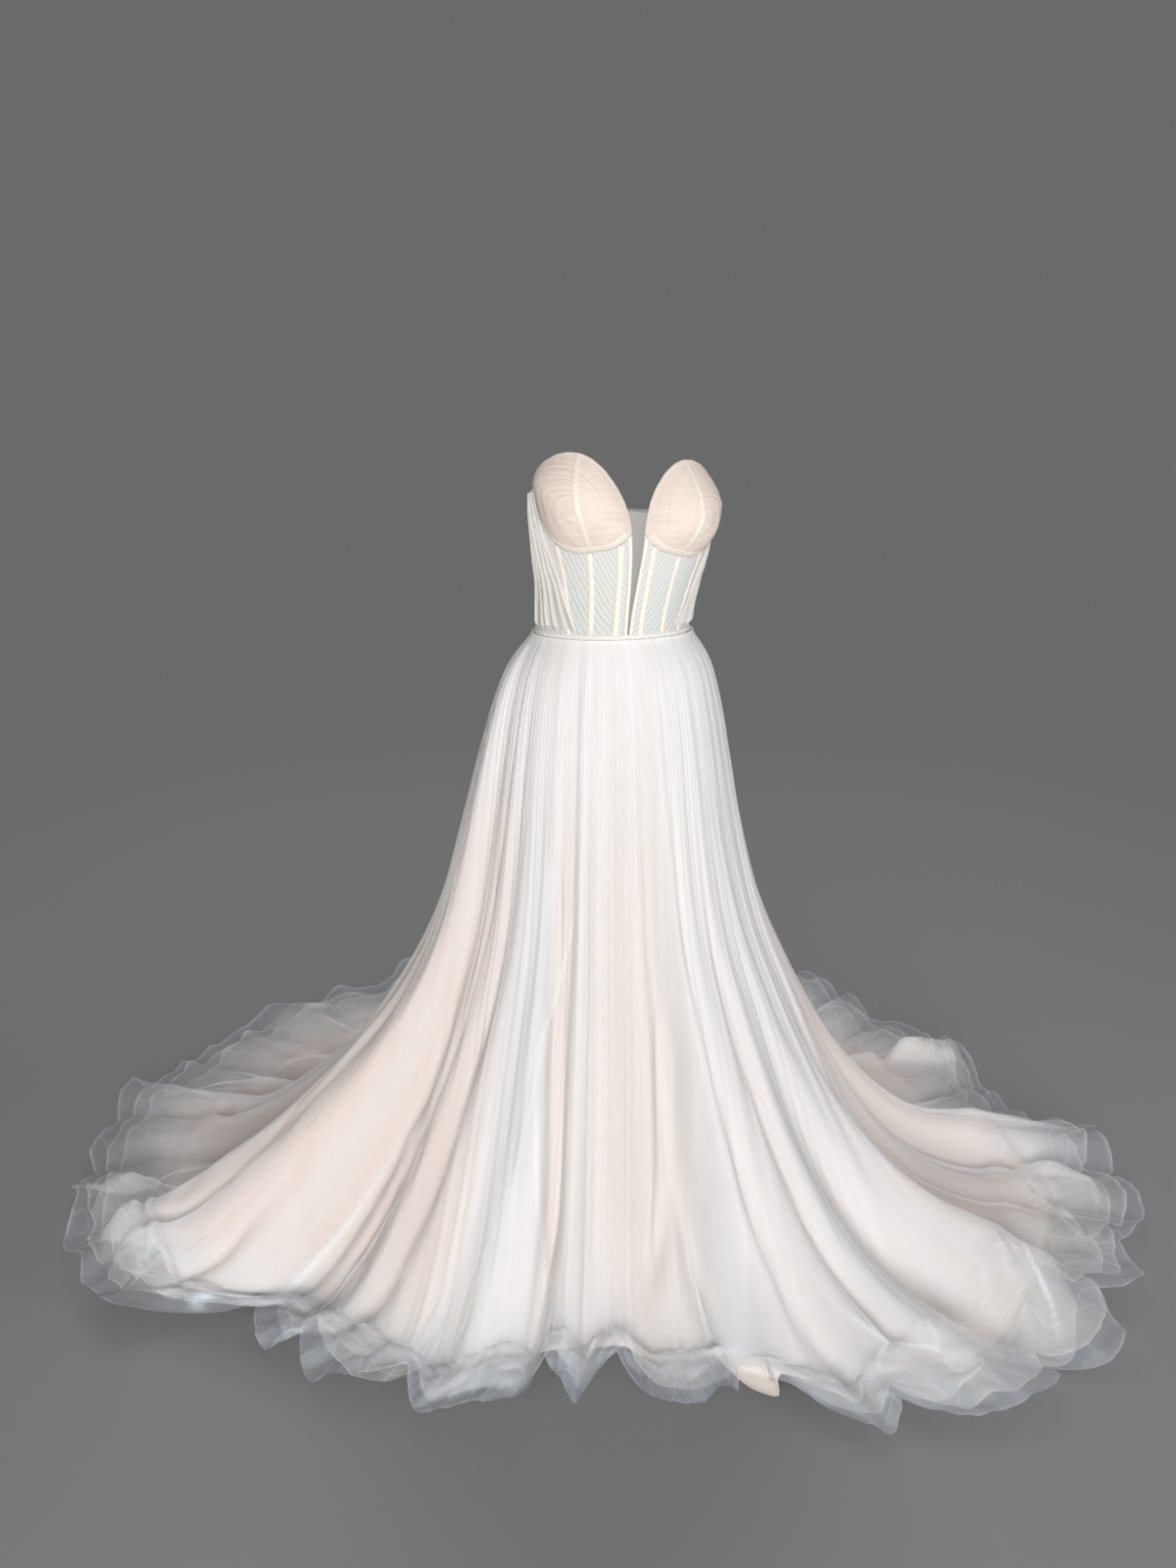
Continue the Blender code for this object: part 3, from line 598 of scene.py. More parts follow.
def net_swell(hung, seed, share_out):
    """How far one net layer stands out, and how steep its folds are, from 0 to 1."""
    panel, bearing, shares, runs = hung.panel, hung.bearing, hung.shares, hung.runs
    fold_share = blend(*NET_FOLD_SHARE, ease(runs, 0.5, 1.1)) - CALM_NET * calmness(bearing)
    main = (along(SWELLS, runs, "net_fold", 0.02)
            * main_folds(panel, shares, runs, seed, NET_SHARPNESS) * fold_share.clip(LEAST_FOLD_SHARE))
    under = lining_folds(panel, bearing, shares, runs)
    gap = along(SWELLS, runs, "net_gap", 0.02)
    ridges = train_ridges(bearing, runs)
    turns = grain_shares(panel, bearing, runs) * panel.folds * 2 * pi
    gathers = waves(turns * 5.2, seed + 1, 4, 1.35)
    small = waves(turns * 1.6 + runs * 0.9 + 0.6 * waves(turns * 0.15 + runs * 1.6, seed + 4),
                  seed + 2, 4, 1.5)
    gather_size = 0.0003 + 0.0018 * ease(runs, 0.0, 0.05) * (1 - ease(runs, 0.10, 0.45))
    small_size = 0.0025 * ease(runs, 0.06, 0.4)
    fine = gather_size * gathers + small_size * small * (1 - 0.35 * ease(runs, 1.0, 1.4))
    total = blend(under + 0.0008, main + gap + fine, share_out) + ridges
    steep = np.abs(np.gradient(total - ridges, axis=1)) * len(shares)
    usual = np.quantile(steep, 0.93, axis=1, keepdims=True).clip(1e-6)
    return total, np.clip(steep / usual, 0, 1)


# %% Threads that hang nearly upright
Grain = namedtuple("Grain", "run crowd")
GRAIN = [Grain(0.05, 0.0), Grain(0.6, 0.33), Grain(0.95, 0.80), Grain(1.15, 1.0)]
GRAIN_AT, GRAIN_SPREAD = -20.0, 60.0


def grain_bearings(bearing, runs):
    """Bearing at the waist of the threads that pass here. In front they hang nearly upright."""
    away = wrap(bearing[None] - GRAIN_AT)
    crowd = along(GRAIN, runs, "crowd", 0.1)
    return bearing[None] + away * crowd * np.exp(-(away / GRAIN_SPREAD) ** 2)


def grain_shares(panel, bearing, runs):
    return (grain_bearings(bearing, runs) - panel.hem_from) / (panel.hem_to - panel.hem_from)


print("a thread at bearing 10 near the floor leaves the waist at bearing",
      round(float(grain_bearings(np.array([10.0]), np.array([[1.0]]))[0, 0]), 1))


# %% Streaks and creases
Streak = namedtuple("Streak", "ground band strand hair band_edge strand_edge")
STREAK = Streak(0.26, 0.46, 0.20, 0.04, 0.12, 0.06)      # how much each part adds to a streak
STREAK_SPREAD = 2.399                # radians between the levels of neighbouring widths


def overlaps(place, seed):
    """Net that lies over net: a level for each width from 0 to 1, crisp at one edge only."""
    number = np.floor(place)
    phase = place - number
    before, level = [0.5 + 0.5 * np.sin(STREAK_SPREAD * k + seed) for k in (number - 1, number)]
    level = blend(before, level, ease(phase, 0.0, 0.09) * 0.75 + 0.25 * phase)
    return level, np.exp(-((phase - 0.05) / 0.04) ** 2)


def strands(hung, seed):
    """Streaks that run down the net, from 0 to 1, in bands, strands and hairs."""
    runs = hung.runs
    place = (grain_shares(hung.panel, hung.bearing, runs) * hung.panel.folds
             + 0.10 * waves(runs * 1.1, seed + 60))
    place = place + 0.16 * waves(place * 0.5 + runs * 0.5, seed + 61)
    band, band_edge = overlaps(place * 0.55 + 0.25 * runs, seed)
    bent = 0.4 * waves(place * 0.8, seed + 62)
    strand, strand_edge = overlaps(place * 1.4 - 0.3 * runs + bent, seed + 1)
    hair = waves(place * 2 * pi * 5.5, seed + 64, 5)
    return np.clip(STREAK.ground + STREAK.band * band + STREAK.strand * strand + STREAK.hair * hair
                   + STREAK.band_edge * band_edge + STREAK.strand_edge * strand_edge, 0, 1)


Crease = namedtuple("Crease", "run_from bearing_from run_to bearing_to width rise")
# long soft troughs and ridges
CREASES = [Crease(*row) for row in (
    (0.26, -35.5, 0.95, -26.0, 0.012, -0.034), (0.30, -31.0, 0.80, -36.0, 0.008, 0.010),
    (0.48, 10.0, 0.93, -6.0, 0.014, -0.034), (0.58, 14.0, 1.20, 2.0, 0.020, 0.014),
    (0.50, -74.0, 1.25, -73.0, 0.022, -0.060), (0.45, -86.0, 1.90, -84.0, 0.060, 0.040),
    (0.50, -58.0, 1.10, -53.0, 0.014, -0.026), (0.20, -50.0, 0.70, -46.0, 0.010, -0.014),
    (0.55, 60.0, 1.80, 36.0, 0.034, 0.022), (0.62, 72.0, 1.90, 50.0, 0.040, -0.026),
    (0.35, 30.0, 1.10, 25.0, 0.012, -0.022), (0.15, 45.0, 0.60, 47.0, 0.009, -0.014),
    (1.10, 88.0, 1.90, 76.0, 0.022, 0.026), (1.05, 84.0, 1.85, 60.0, 0.018, 0.020),
    (1.22, 118.0, 1.97, 112.0, 0.011, 0.062), (0.60, 112.0, 1.40, 101.0, 0.020, -0.040),
    (0.40, 137.0, 1.30, 143.0, 0.018, -0.038), (0.45, 163.0, 1.85, 158.0, 0.026, 0.034),
    (0.30, 178.0, 1.00, 185.0, 0.014, -0.030), (0.55, -166.0, 1.70, -160.0, 0.022, -0.036),
    (0.40, -140.0, 1.90, -131.0, 0.024, 0.032), (0.60, -118.0, 1.25, -124.0, 0.018, -0.034),
    (1.10, -108.0, 1.95, -99.0, 0.020, 0.026), (1.15, -92.0, 1.90, -86.0, 0.016, 0.022),
    (0.62, -79.0, 1.80, -79.5, 0.013, -0.030), (0.70, -84.0, 1.95, -88.0, 0.014, -0.036),
    (0.55, -93.0, 1.75, -96.0, 0.014, -0.032), (0.60, -66.0, 1.50, -67.0, 0.012, -0.024),
    (0.95, 117.0, 1.95, 115.0, 0.055, -0.030), (0.90, -82.0, 1.90, -84.0, 0.010, 0.016),
)]
# cut edges of net that cross the skirt, with a share of cover
EDGES = [Crease(*row) for row in (
    (0.30, -22.0, 0.60, -37.0, 0.0022, 0.3), (0.55, -36.0, 1.00, -26.0, 0.0026, 0.35),
    (0.60, -73.0, 1.98, -76.0, 0.0040, 0.8), (0.55, 69.0, 1.90, 40.0, 0.0040, 0.7),
    (0.70, -63.0, 1.40, -70.0, 0.0026, 0.4), (0.80, 22.0, 1.60, 30.0, 0.0024, 0.4),
    (0.90, 102.0, 1.90, 96.0, 0.0030, 0.5), (0.80, 150.0, 1.80, 162.0, 0.0030, 0.4),
    (0.85, -150.0, 1.80, -140.0, 0.0030, 0.4), (0.90, -112.0, 1.85, -103.0, 0.0030, 0.5),
    (0.62, -80.0, 1.85, -81.5, 0.0040, 0.30), (0.70, -88.0, 1.90, -92.0, 0.0040, 0.30),
    (0.60, 36.0, 1.50, 26.0, 0.0030, 0.3), (0.85, 50.0, 1.80, 33.0, 0.0030, 0.3),
)]


GRID_STEP = 0.0085                   # radians between columns of a grid: no crease is finer
WIDE_CREASE = 0.011                  # creases wider than this also show in the underskirt


def crease_rise(creases, bearing, runs, out):
    """Rise of hand-placed creases at bearings of the hem, runs and distances from the waist."""
    total = 0.0
    for number, crease in enumerate(creases):
        share = (runs - crease.run_from) / (crease.run_to - crease.run_from)
        path = blend(crease.bearing_from, crease.bearing_to, share) + 0.7 * waves(runs * 4, number + 400)
        across = np.radians(wrap(bearing[None] - path)) * (0.12 + out)
        strength = ease(share, 0.0, 0.3) * ease(1 - share, 0.0, 0.25)
        width = np.maximum(crease.width, GRID_STEP * (0.12 + out))
        total = total + crease.rise * strength * np.exp(-(across / width) ** 2)
    return total


def lining_swell(hung):
    """How far the underskirt stands out from its lines: folds, soft lumps and creases."""
    panel, bearing, shares, runs = hung.panel, hung.bearing, hung.shares, hung.runs
    swell = lining_folds(panel, bearing, shares, runs) + train_ridges(bearing, runs)
    soft = crumples(shares[None] * panel.folds * 2.2, runs * 5.0, 31 + panel.folds)
    swell += 0.0022 * (0.4 + soft) * ease(runs, 0.15, 0.5)
    wide = [crease for crease in CREASES if crease.width > WIDE_CREASE]
    return np.maximum(swell + 0.85 * crease_rise(wide, bearing, runs, hung.lines.out), 0.0)


print("creases placed by hand:", len(CREASES))
print("widest fold:", round(float(np.diff(fold_widths(SKIRT_PANELS[0])).max()), 3), "of the front")

# %% [markdown]
# ## Finishes of the skirt
# Net is mostly holes. One layer lets most light through and several bunched layers look solid
# white. So each point of a layer has its own `cover`, the share of light that the net stops,
# which grows where the cloth is gathered or folded, and a `tone` and a `tint` for its streaks.
# These come from the folds themselves, so they need no picture. The finish adds the mesh of the
# net, and lets a part of the light shine through.


# %% Net and satin finishes
NET_PITCH = 0.0032                   # metres between holes
CREASE_LINE = 0.012                  # how near its middle level the noise makes a crease


def crease_lines(finish, across, down, seed):
    """Thin lines where the net was creased: 1 on a line and 0 away from it."""
    off = abs(finish.noise(across, down, 1.0, seed) - 0.5)
    return finish.add("MapRange", Value=off, From_Max=CREASE_LINE, To_Min=1.0, To_Max=0.0)


def net_finish(name, thin, bunched, tint):
    finish = Finish(name)
    cover = (finish.mark("cover") * (finish.holes(NET_PITCH) * 0.16 + 0.92)).clamped()
    lines = crease_lines(finish, 7.0, 3.5, 4).maths("MAXIMUM", crease_lines(finish, 4.0, 8.0, 9))
    cover = (cover + lines * (finish.mark("lying") * 0.11)).clamped()
    colour = finish.mix(finish.mark("tone"), thin, bunched)
    colour = finish.mix(finish.mark("tint"), colour, tint)
    return finish.cloth(colour, 0.9, 0.1, glow=0.35, cover=cover)


def satin_finish(name, colour, deep, weave=900.0):
    """Satin with this many threads a metre across, in soft uneven streaks."""
    finish = Finish(name)
    tone = finish.mix(finish.noise(9.0, 1.2, 3.0, 2), deep, colour)
    threads = finish.noise(weave, weave * 0.4, 1.0, 0, roughness=0.5)
    return finish.cloth(tone, 0.5, 0.35, relief=(threads, 0.08, 0.0004), glow=0.15, sheen=0.2)


WHITE, IVORY, COOL = srgb(250, 250, 250), srgb(247, 244, 242), srgb(222, 233, 246)
BLUSH, PEACH, CREAM = srgb(245, 237, 232), srgb(238, 207, 190), srgb(246, 244, 239)
blush_satin = satin_finish("blush_satin", srgb(243, 235, 229), srgb(234, 221, 212))
net_finishes = {
    "inner": net_finish("inner_net", BLUSH, IVORY, PEACH),
    "middle": net_finish("middle_net", IVORY, WHITE, CREAM),
    "outer": net_finish("outer_net", srgb(247, 245, 244), WHITE, COOL),
}
print("skirt finishes:", 1 + len(net_finishes))

# %% [markdown]
# ## Underskirt
# The opaque satin underskirt gives the gown its warm tone under the white net. It ends short of
# the net all round. It is laid as one grid for the front and one for the back, and keeps softer,
# rounder folds than the net.


# %% A layer of the skirt
HEM_PIVOT = 0.6                      # rows below this run move when a hem is longer or shorter
WIDTHS = {"front": ["front_right", "front_centre", "front_left"],
          "back": ["side_left", "back_left", "back_right", "side_right"]}
Hung = namedtuple("Hung", "panel shares bearing runs lines from_edge")


def row_runs(waist_rows, fall_rows, floor_rows, last=2.0):
    """Rows set closer at the waist and at the bend onto the floor."""
    first = np.linspace(0, 1, waist_rows, endpoint=False) ** 1.4 * 0.16
    middle = np.linspace(0.16, 1.0, fall_rows, endpoint=False)
    return np.concatenate([first, middle, np.linspace(1.0, last, floor_rows)])


def hem_runs(bearing, longer, row_at):
    """Runs of rows x columns, where the hem is this much longer than the plain line."""
    ends = []
    for one_bearing, more in zip(bearing, longer):
        _, steps, runs = skirt_line(one_bearing, MEAN_WAIST)
        floor_length = steps[-1] - np.interp(1.0, runs, steps)
        ends.append(np.interp(steps[-1] + more, steps, runs) + max(more, 0.0) / floor_length)
    share = (row_at[:, None] - HEM_PIVOT) / (row_at[-1] - HEM_PIVOT)
    return np.where(share < 0, row_at[:, None], HEM_PIVOT + (np.array(ends)[None] - HEM_PIVOT) * share)


def hang(panel, shares, longer, row_at):
    """A layer's lines and how far each point is from its hem, which is this much longer."""
    bearing = blend(panel.hem_from, panel.hem_to, shares)
    runs = hem_runs(bearing, longer, row_at)
    lines = skirt_lines(panel, shares, runs)
    return Hung(panel, shares, bearing, runs, lines, lines.length.max(axis=0)[None] - lines.length)


def lay_layer(name, hung, swell, lowest, finish, marks=None):
    """Lays a layer of the skirt and returns its piece, its area and its cut, all measured."""
    points = place_on_lines(hung.lines, swell)
    points[..., 2] = np.maximum(points[..., 2], lowest)
    flat = np.stack([hung.shares[None] * line_length(points[-1]) + 0 * hung.runs,
                     -hung.lines.length], axis=-1)
    piece = lay_cloth(f"{name}_{hung.panel.name}", points, flat, finish, marks)
    area, long = cloth_area(points), float(hung.lines.length.max())
    cut = (max(line_length(points[-1]), 1.03 * area / long), long)
    print(piece.name, len(piece.data.polygons) * 2, "triangles, cut", [round(c, 2) for c in cut],
          "area", round(area, 2))
    return piece, area, cut


# %% Lay the underskirt
PEEK = 8.0                           # bearing where the satin's hem shows past the net
LINING_PEEK, NET_PEEK = 0.080, 0.055     # the satin is this much longer there, the net shorter
LINING_ROWS = row_runs(10, 40, 20, 1.62)
for panel in SKIRT_PANELS:
    shares = np.linspace(0, 1, 16 * panel.folds + 1)
    bearing = blend(panel.hem_from, panel.hem_to, shares)
    short = np.interp(hem_reach(bearing), [0.56, 1.0], LINING_SHORT)
    short = short - LINING_PEEK * np.exp(-((bearing - PEEK) / 2.6) ** 4)
    hung = hang(panel, shares, -short, LINING_ROWS)
    settled = blend(0.2, 1.0, ease(hung.from_edge, 0.0, 0.10))
    lining, area, cut = lay_layer("underskirt", hung, settled * lining_swell(hung),
                                  -WAIST_HEIGHT + 0.0006, blush_satin)
    stand_for(lining, "satin", *[f"lining_{width}" for width in WIDTHS[panel.name]])

# %% [markdown]
# ## Net layers
# Three layers of net lie over the satin, each with its own folds, tint and hem. The inner one is
# blush and the outer one is white. Their hems lie in petals: each fold pushes its edge outwards,
# and the edge curls up a little from the floor. A cut edge catches light as a fine bright line.

# %% Tables of the net layers
NetLayer = namedtuple("NetLayer", "name columns rows out reach seed cover shift")
NET_LAYERS = [
    NetLayer("inner", 20, (12, 44, 28), 0.34, -0.055, 3, 0.21, 0.06),
    NetLayer("middle", 26, (14, 52, 34), 0.68, -0.026, 5, 0.18, -0.10),
    NetLayer("outer", 34, (16, 56, 38), 1.00, 0.010, 8, 0.16, 0.0),
]
Hue = namedtuple("Hue", "bearing warm cool")
# how blush the inner net and how cool the outer net look
HUES = [Hue(*row) for row in (
    (-180, 0.7, 0.1), (-110, 0.9, 0.0), (-84, 0.9, 0.0), (-72, 1.0, 0.0), (-63, 0.7, 0.0),
    (-54, 0.1, 0.4), (-40, 0.0, 0.4), (-36, 0.3, 0.1), (-33, 1.0, 0.0), (-29, 0.4, 0.0),
    (-15, 0.3, 0.1), (-6, 0.6, 0.0), (3, 0.7, 0.0), (14, 0.4, 0.1), (26, 0.2, 0.3),
    (38, 0.4, 0.3), (50, 0.1, 0.4), (66, 0.4, 0.3), (82, 0.8, 0.0), (120, 0.8, 0.0),
    (180, 0.7, 0.1),
)]
Lobe = namedtuple("Lobe", "bearing depth plies")
# depth of the hem's petals, and how bunched their edge is
LOBES = [Lobe(*row) for row in (
    (-180, 0.030, 0.34), (-130, 0.020, 0.30), (-88, 0.024, 0.34), (-74, 0.060, 0.60),
    (-50, 0.085, 0.85), (0, 0.070, 0.80), (40, 0.060, 0.65), (70, 0.050, 0.36),
    (120, 0.034, 0.30), (180, 0.030, 0.34),
)]
LOBES_PER_FOLD = {"front": 11 / 15, "back": 16 / 21}
Gather = namedtuple("Gather", "run plies")
GATHERS = [Gather(0.0, 9.0), Gather(0.1, 7.0), Gather(0.3, 5.5), Gather(0.6, 4.6),
           Gather(1.0, 4.2), Gather(1.4, 3.4), Gather(2.0, 3.0)]
LOOSE, LOOSE_LIFT = 0.0065, 0.005    # lumps of the net where it lies on the floor
RUFFLE, RUFFLE_REACH = 0.017, 0.17   # how high the ruffle rises, and how far in from the edge
CURL, CURL_REACH = 0.009, 0.035      # the same for the curl of the very edge
SOFTEST = 0.002                      # over which a layer settles on the one under it
EDGE_COVER = 0.42                    # the fine bright line of a cut edge
print("net layers:", [layer.name for layer in NET_LAYERS], "petals deepest:",
      max(lobe.depth for lobe in LOBES), "m")


# %% Hem, form and marks of a net layer
def net_hem(layer, panel, bearing, place):
    """How much longer than the plain line the hem is, in petals and small waves."""
    lobe = np.abs(np.cos(pi * (place * LOBES_PER_FOLD[panel.name] + layer.shift
                               + 0.12 * waves(place, layer.seed + 20)))) ** 0.7
    depth = along(LOBES, wrap(bearing), "depth", 3.0) * (1 + 0.5 * waves(place * 0.9, 77))
    petal = depth * (lobe - 0.66) + 0.005 * waves(place * 3.3, layer.seed + 21) + layer.reach
    return petal - NET_PEEK * np.exp(-((bearing - PEEK) / 3.4) ** 4)


def net_form(layer, hung, place):
    """How far a net layer stands out from its lines, and how steep its folds are."""
    runs, from_edge = hung.runs, hung.from_edge
    lying = ease(runs, 0.92, 1.2)
    swell, steep = net_swell(hung, layer.seed, layer.out)
    swell += crease_rise(CREASES, hung.bearing, runs, hung.lines.out)
    u, v = hung.shares[None] * hung.panel.folds * 2.4, hung.lines.length * 9.0
    loose = crumples(u, v, layer.seed + 40) * 0.8 + crumples(u * 2.3, v * 2.0, layer.seed + 41) * 0.2
    swell += lying * (LOOSE * loose + LOOSE_LIFT)
    bent = 0.6 * waves(from_edge * 14, layer.seed + 31)
    ruffle = np.maximum(waves(place[None] * 2.0 + bent, layer.seed + 30, 4, 1.4) + 0.2, 0)
    swell += lying * ease(RUFFLE_REACH - from_edge, 0.0, RUFFLE_REACH) * RUFFLE * ruffle
    curl = np.maximum(waves(place * 4.6, layer.seed + 32, 3), 0)
    swell += lying * ease(CURL_REACH - from_edge, 0.0, CURL_REACH) * CURL * curl[None]
    under = lining_swell(hung) * blend(0.3, 1.0, ease(from_edge, 0.02, 0.15))
    least = under + 0.0015 + 0.0060 * layer.out
    return SOFTEST * np.logaddexp(swell / SOFTEST, least / SOFTEST), steep


def net_cover(layer, hung, streak, steep, warm):
    """Share of light that the layer stops: all its plies together, and its edges."""
    runs, from_edge = hung.runs, hung.from_edge
    at_edge = along(LOBES, wrap(hung.bearing), "plies", 3.0)[None]
    plies = along(GATHERS, runs, "plies", 0.05) * blend(at_edge, 1.0, ease(from_edge, 0.02, 0.17))
    plies = plies * (0.50 + 0.70 * streak + 0.5 * steep) * (1.0 - 0.45 * warm)
    cover = 1.0 - (1.0 - layer.cover) ** plies
    cover = np.maximum(cover, EDGE_COVER * ease(0.0040 - from_edge, 0.0, 0.003))
    if layer.name == "outer":
        cover = np.clip(cover + crease_rise(EDGES, hung.bearing, runs, hung.lines.out), 0, 0.96)
    return cover


def net_tint(layer, hung, place, grain, warm):
    """Share of the layer's tint, blush in the inner net and cool in the outer ones."""
    runs, from_edge = hung.runs, hung.from_edge
    share = warm if layer.name == "inner" else along(HUES, grain, "cool", 1.5)
    tint = share * (1.0 + 0.5 * waves(place[None] * 5.9 + runs * 0.8, layer.seed + 70))
    tint = np.clip(tint * ease(runs, 0.02, 0.5), 0, 1)
    if layer.name == "inner":
        return tint * ease(from_edge, 0.04, 0.20)
    at_hem = np.maximum(0.85 * ease(0.22 - from_edge, 0.0, 0.20), 0.22 * ease(runs, 0.65, 1.1))
    return np.maximum(tint, at_hem)


def net_marks(layer, hung, place, steep):
    """What the finish needs to know at each point of a net layer."""
    streak = strands(hung, layer.seed)
    grain = wrap(grain_bearings(hung.bearing, hung.runs))
    warm = along(HUES, grain, "warm", 1.5) * ease(hung.runs, 0.05, 0.3)
    return {"cover": net_cover(layer, hung, streak, steep, warm),
            "tone": np.clip(0.15 + 0.85 * streak + 0.2 * steep, 0, 1),
            "tint": net_tint(layer, hung, place, grain, warm),
            "lying": ease(hung.runs, 0.92, 1.2) * ease(0.30 - hung.from_edge, 0.0, 0.12)}


# %% Lay the net layers
for layer in NET_LAYERS:
    for panel in SKIRT_PANELS:
        shares = np.linspace(0, 1, layer.columns * panel.folds + 1)
        place = np.interp(shares, fold_widths(panel), np.arange(panel.folds + 1))
        longer = net_hem(layer, panel, blend(panel.hem_from, panel.hem_to, shares), place)
        hung = hang(panel, shares, longer, row_runs(*layer.rows))
        swell, steep = net_form(layer, hung, place)
        net, area, cut = lay_layer(f"net_{layer.name}", hung, swell,
                                   -WAIST_HEIGHT + 0.0008 + 0.002 * layer.out,
                                   net_finishes[layer.name], net_marks(layer, hung, place, steep))
        stand_for(net, "ivory_net", *[f"net_{width}" for width in WIDTHS[panel.name]])

# %% [markdown]
# ## Cups
# A cup is moulded foam in satin, covered in fine net that is gathered into nearly level pleats.
# Foam keeps its form, so the cup is a crowned closed shell and needs no cloth simulation: rings
# run from its middle to its edge, over the rim and back inside. The pleats are too fine for the
# grid. They are bump and painted shade in the finish, stronger where the attribute `pleated` says so.

# %% Outline of the cups
Corner = namedtuple("Corner", "bearing height")
CUP_LOWER = [Corner(*row) for row in (
    (4.0, 0.168), (9.5, 0.153), (18.0, 0.141), (30.0, 0.135),
    (41.0, 0.131), (53.0, 0.135), (63.0, 0.148), (70.0, 0.169),
    (75.0, 0.196), (80.0, 0.226),
)]
CUP_UPPER = [Corner(*row) for row in (
    (80.5, 0.241), (76.0, 0.256), (67.0, 0.271), (56.0, 0.283),
    (46.0, 0.289), (36.0, 0.289), (28.0, 0.282), (20.0, 0.267),
    (13.0, 0.244), (8.5, 0.221), (5.4, 0.194),
)]
CUP_MIDDLE = Corner(35.5, 0.208)
CUP_DEPTH, CUP_SEAT, CUP_WALL, CUP_CLEAR = 0.038, 0.0015, 0.0030, 0.0005
TOP_EDGE = [Corner(80.0, 0.226), Corner(90.0, 0.220), Corner(120.0, 0.206),
            Corner(150.0, 0.192), Corner(180.0, 0.188)]
BODICE_FOOT, PANEL_WALL, ON_PANEL = 0.0035, 0.0010, 0.0006
PLUNGE_FOOT, SIDE_SEAM, INSET_TOP = 0.9, 90.0, 0.204
HANDS = ((1, "left"), (-1, "right"))     # the wearer's left is at positive bearings


def cup_outline(turn, window=0.010):
    """Bearing and height of the cup's edge at turns from 0 to 1, underwire first."""
    loop = CUP_LOWER + CUP_UPPER + CUP_LOWER[:1]
    bearings, heights = np.array(column(loop, "bearing")), np.array(column(loop, "height"))
    steps = np.concatenate([[0.0], np.cumsum(np.hypot(
        np.radians(np.diff(bearings)) * MEAN_RADIUS, np.diff(heights)))])
    shifts = np.linspace(-window, window, 5) if window else [0.0]
    places = [((np.asarray(turn) + shift) % 1.0) * steps[-1] for shift in shifts]
    return (sum(np.interp(at, steps, bearings) for at in places) / len(places),
            sum(np.interp(at, steps, heights) for at in places) / len(places))


def cup_points(side, turn, spread, out):
    """Points on the cup. spread is 0 at its middle and 1 at its edge."""
    edge_bearing, edge_height = cup_outline(turn)
    bearing = blend(CUP_MIDDLE.bearing, edge_bearing, spread)
    height = blend(CUP_MIDDLE.height, edge_height, spread)
    dome = CUP_DEPTH * (1.0 - np.asarray(spread) ** 2)
    return body_points(side * bearing, height, CUP_SEAT + dome + out), bearing, height


print("cup edge at the plunge:", [round(float(c), 3) for c in cup_outline(0.0)])


# %% Finishes of the bodice
STITCH_INSET, STITCH_WIDTH, STITCH_PITCH = 0.0013, 0.00028, 0.0026      # metres
PALE_RIM, STITCH_COLOUR = srgb(236, 229, 220), srgb(204, 192, 178)


def pleated_finish(name, base, darker_colour, across, down, strength):
    """Opaque net in fine pleats that follow the flat cloth's length, with painted shade in each pleat's
    valley and a faint random mottle.
    """
    finish = Finish(name)
    ridge = (finish.noise(across, down, 3.0, 4) - 0.5) * (finish.mark("pleated") + 0.35)
    cloud = finish.noise(30.0, 30.0, 2.0, 8)
    # painted shade: the colour darkens in the pleats' valleys, plus a random mottle from cloud
    painted_shade_and_mottle = (ridge * -2.2 + 0.42 - cloud * 0.4).clamped()
    colour = finish.mix(finish.mark("pale"), finish.mix(painted_shade_and_mottle, base, darker_colour), PALE_RIM)
    relief = ridge + finish.noise(900.0, 900.0, 1.0, 6) * 0.12
    return finish.cloth(colour, 0.85, 0.15, relief=(relief, strength, 0.0012))


def tape_finish(name, base, darker_colour, width):
    """Woven tape with a line of stitches near each edge."""
    finish = Finish(name)
    from_line = abs(abs(finish.along(0)) - (width / 2 - STITCH_INSET))
    on_line = from_line.maths("LESS_THAN", STITCH_WIDTH)
    dash = (finish.along(1) * (2 * pi / STITCH_PITCH)).maths("SINE").maths("GREATER_THAN", -0.3)
    stitch = on_line * dash
    colour = finish.mix(finish.noise(40.0, 60.0, 2.0, 5), base, darker_colour)
    colour = finish.mix(stitch * 0.5, colour, STITCH_COLOUR)
    relief = finish.noise(1400.0, 1400.0, 1.0, 3) * 0.4 - stitch
    return finish.cloth(colour, 0.7, 0.25, relief=(relief, 0.35, 0.0003))


# CUP_SHADOW is the painted shade in the valleys of the cup's pleats
CUP_COLOUR, CUP_SHADOW = srgb(228, 214, 204), srgb(206, 188, 176)
cup_cover = pleated_finish("gathered_cup_net", CUP_COLOUR, CUP_SHADOW, 16.0, 480.0, 0.40)
cream_tape = tape_finish("cream_tape", srgb(234, 227, 217), srgb(226, 216, 204), 0.0085)
print("bodice finishes: cup net and tape")

# %% Cups
CUP_COLUMNS, CUP_OUTER, CUP_INNER = 200, 60, 18
RIM_SPREAD, RIM_DEPTHS = 1.006, [-0.0009, -0.0021]       # the two rings that turn the edge over


def weld(piece):
    """Joins the points that lie in one place, as at the middle of a cup."""
    bpy.context.view_layer.objects.active = piece
    piece.select_set(True)
    bpy.ops.object.mode_set(mode="EDIT")
    bpy.ops.mesh.select_all(action="SELECT")
    bpy.ops.mesh.remove_doubles(threshold=1e-6)
    bpy.ops.object.mode_set(mode="OBJECT")
    piece.select_set(False)


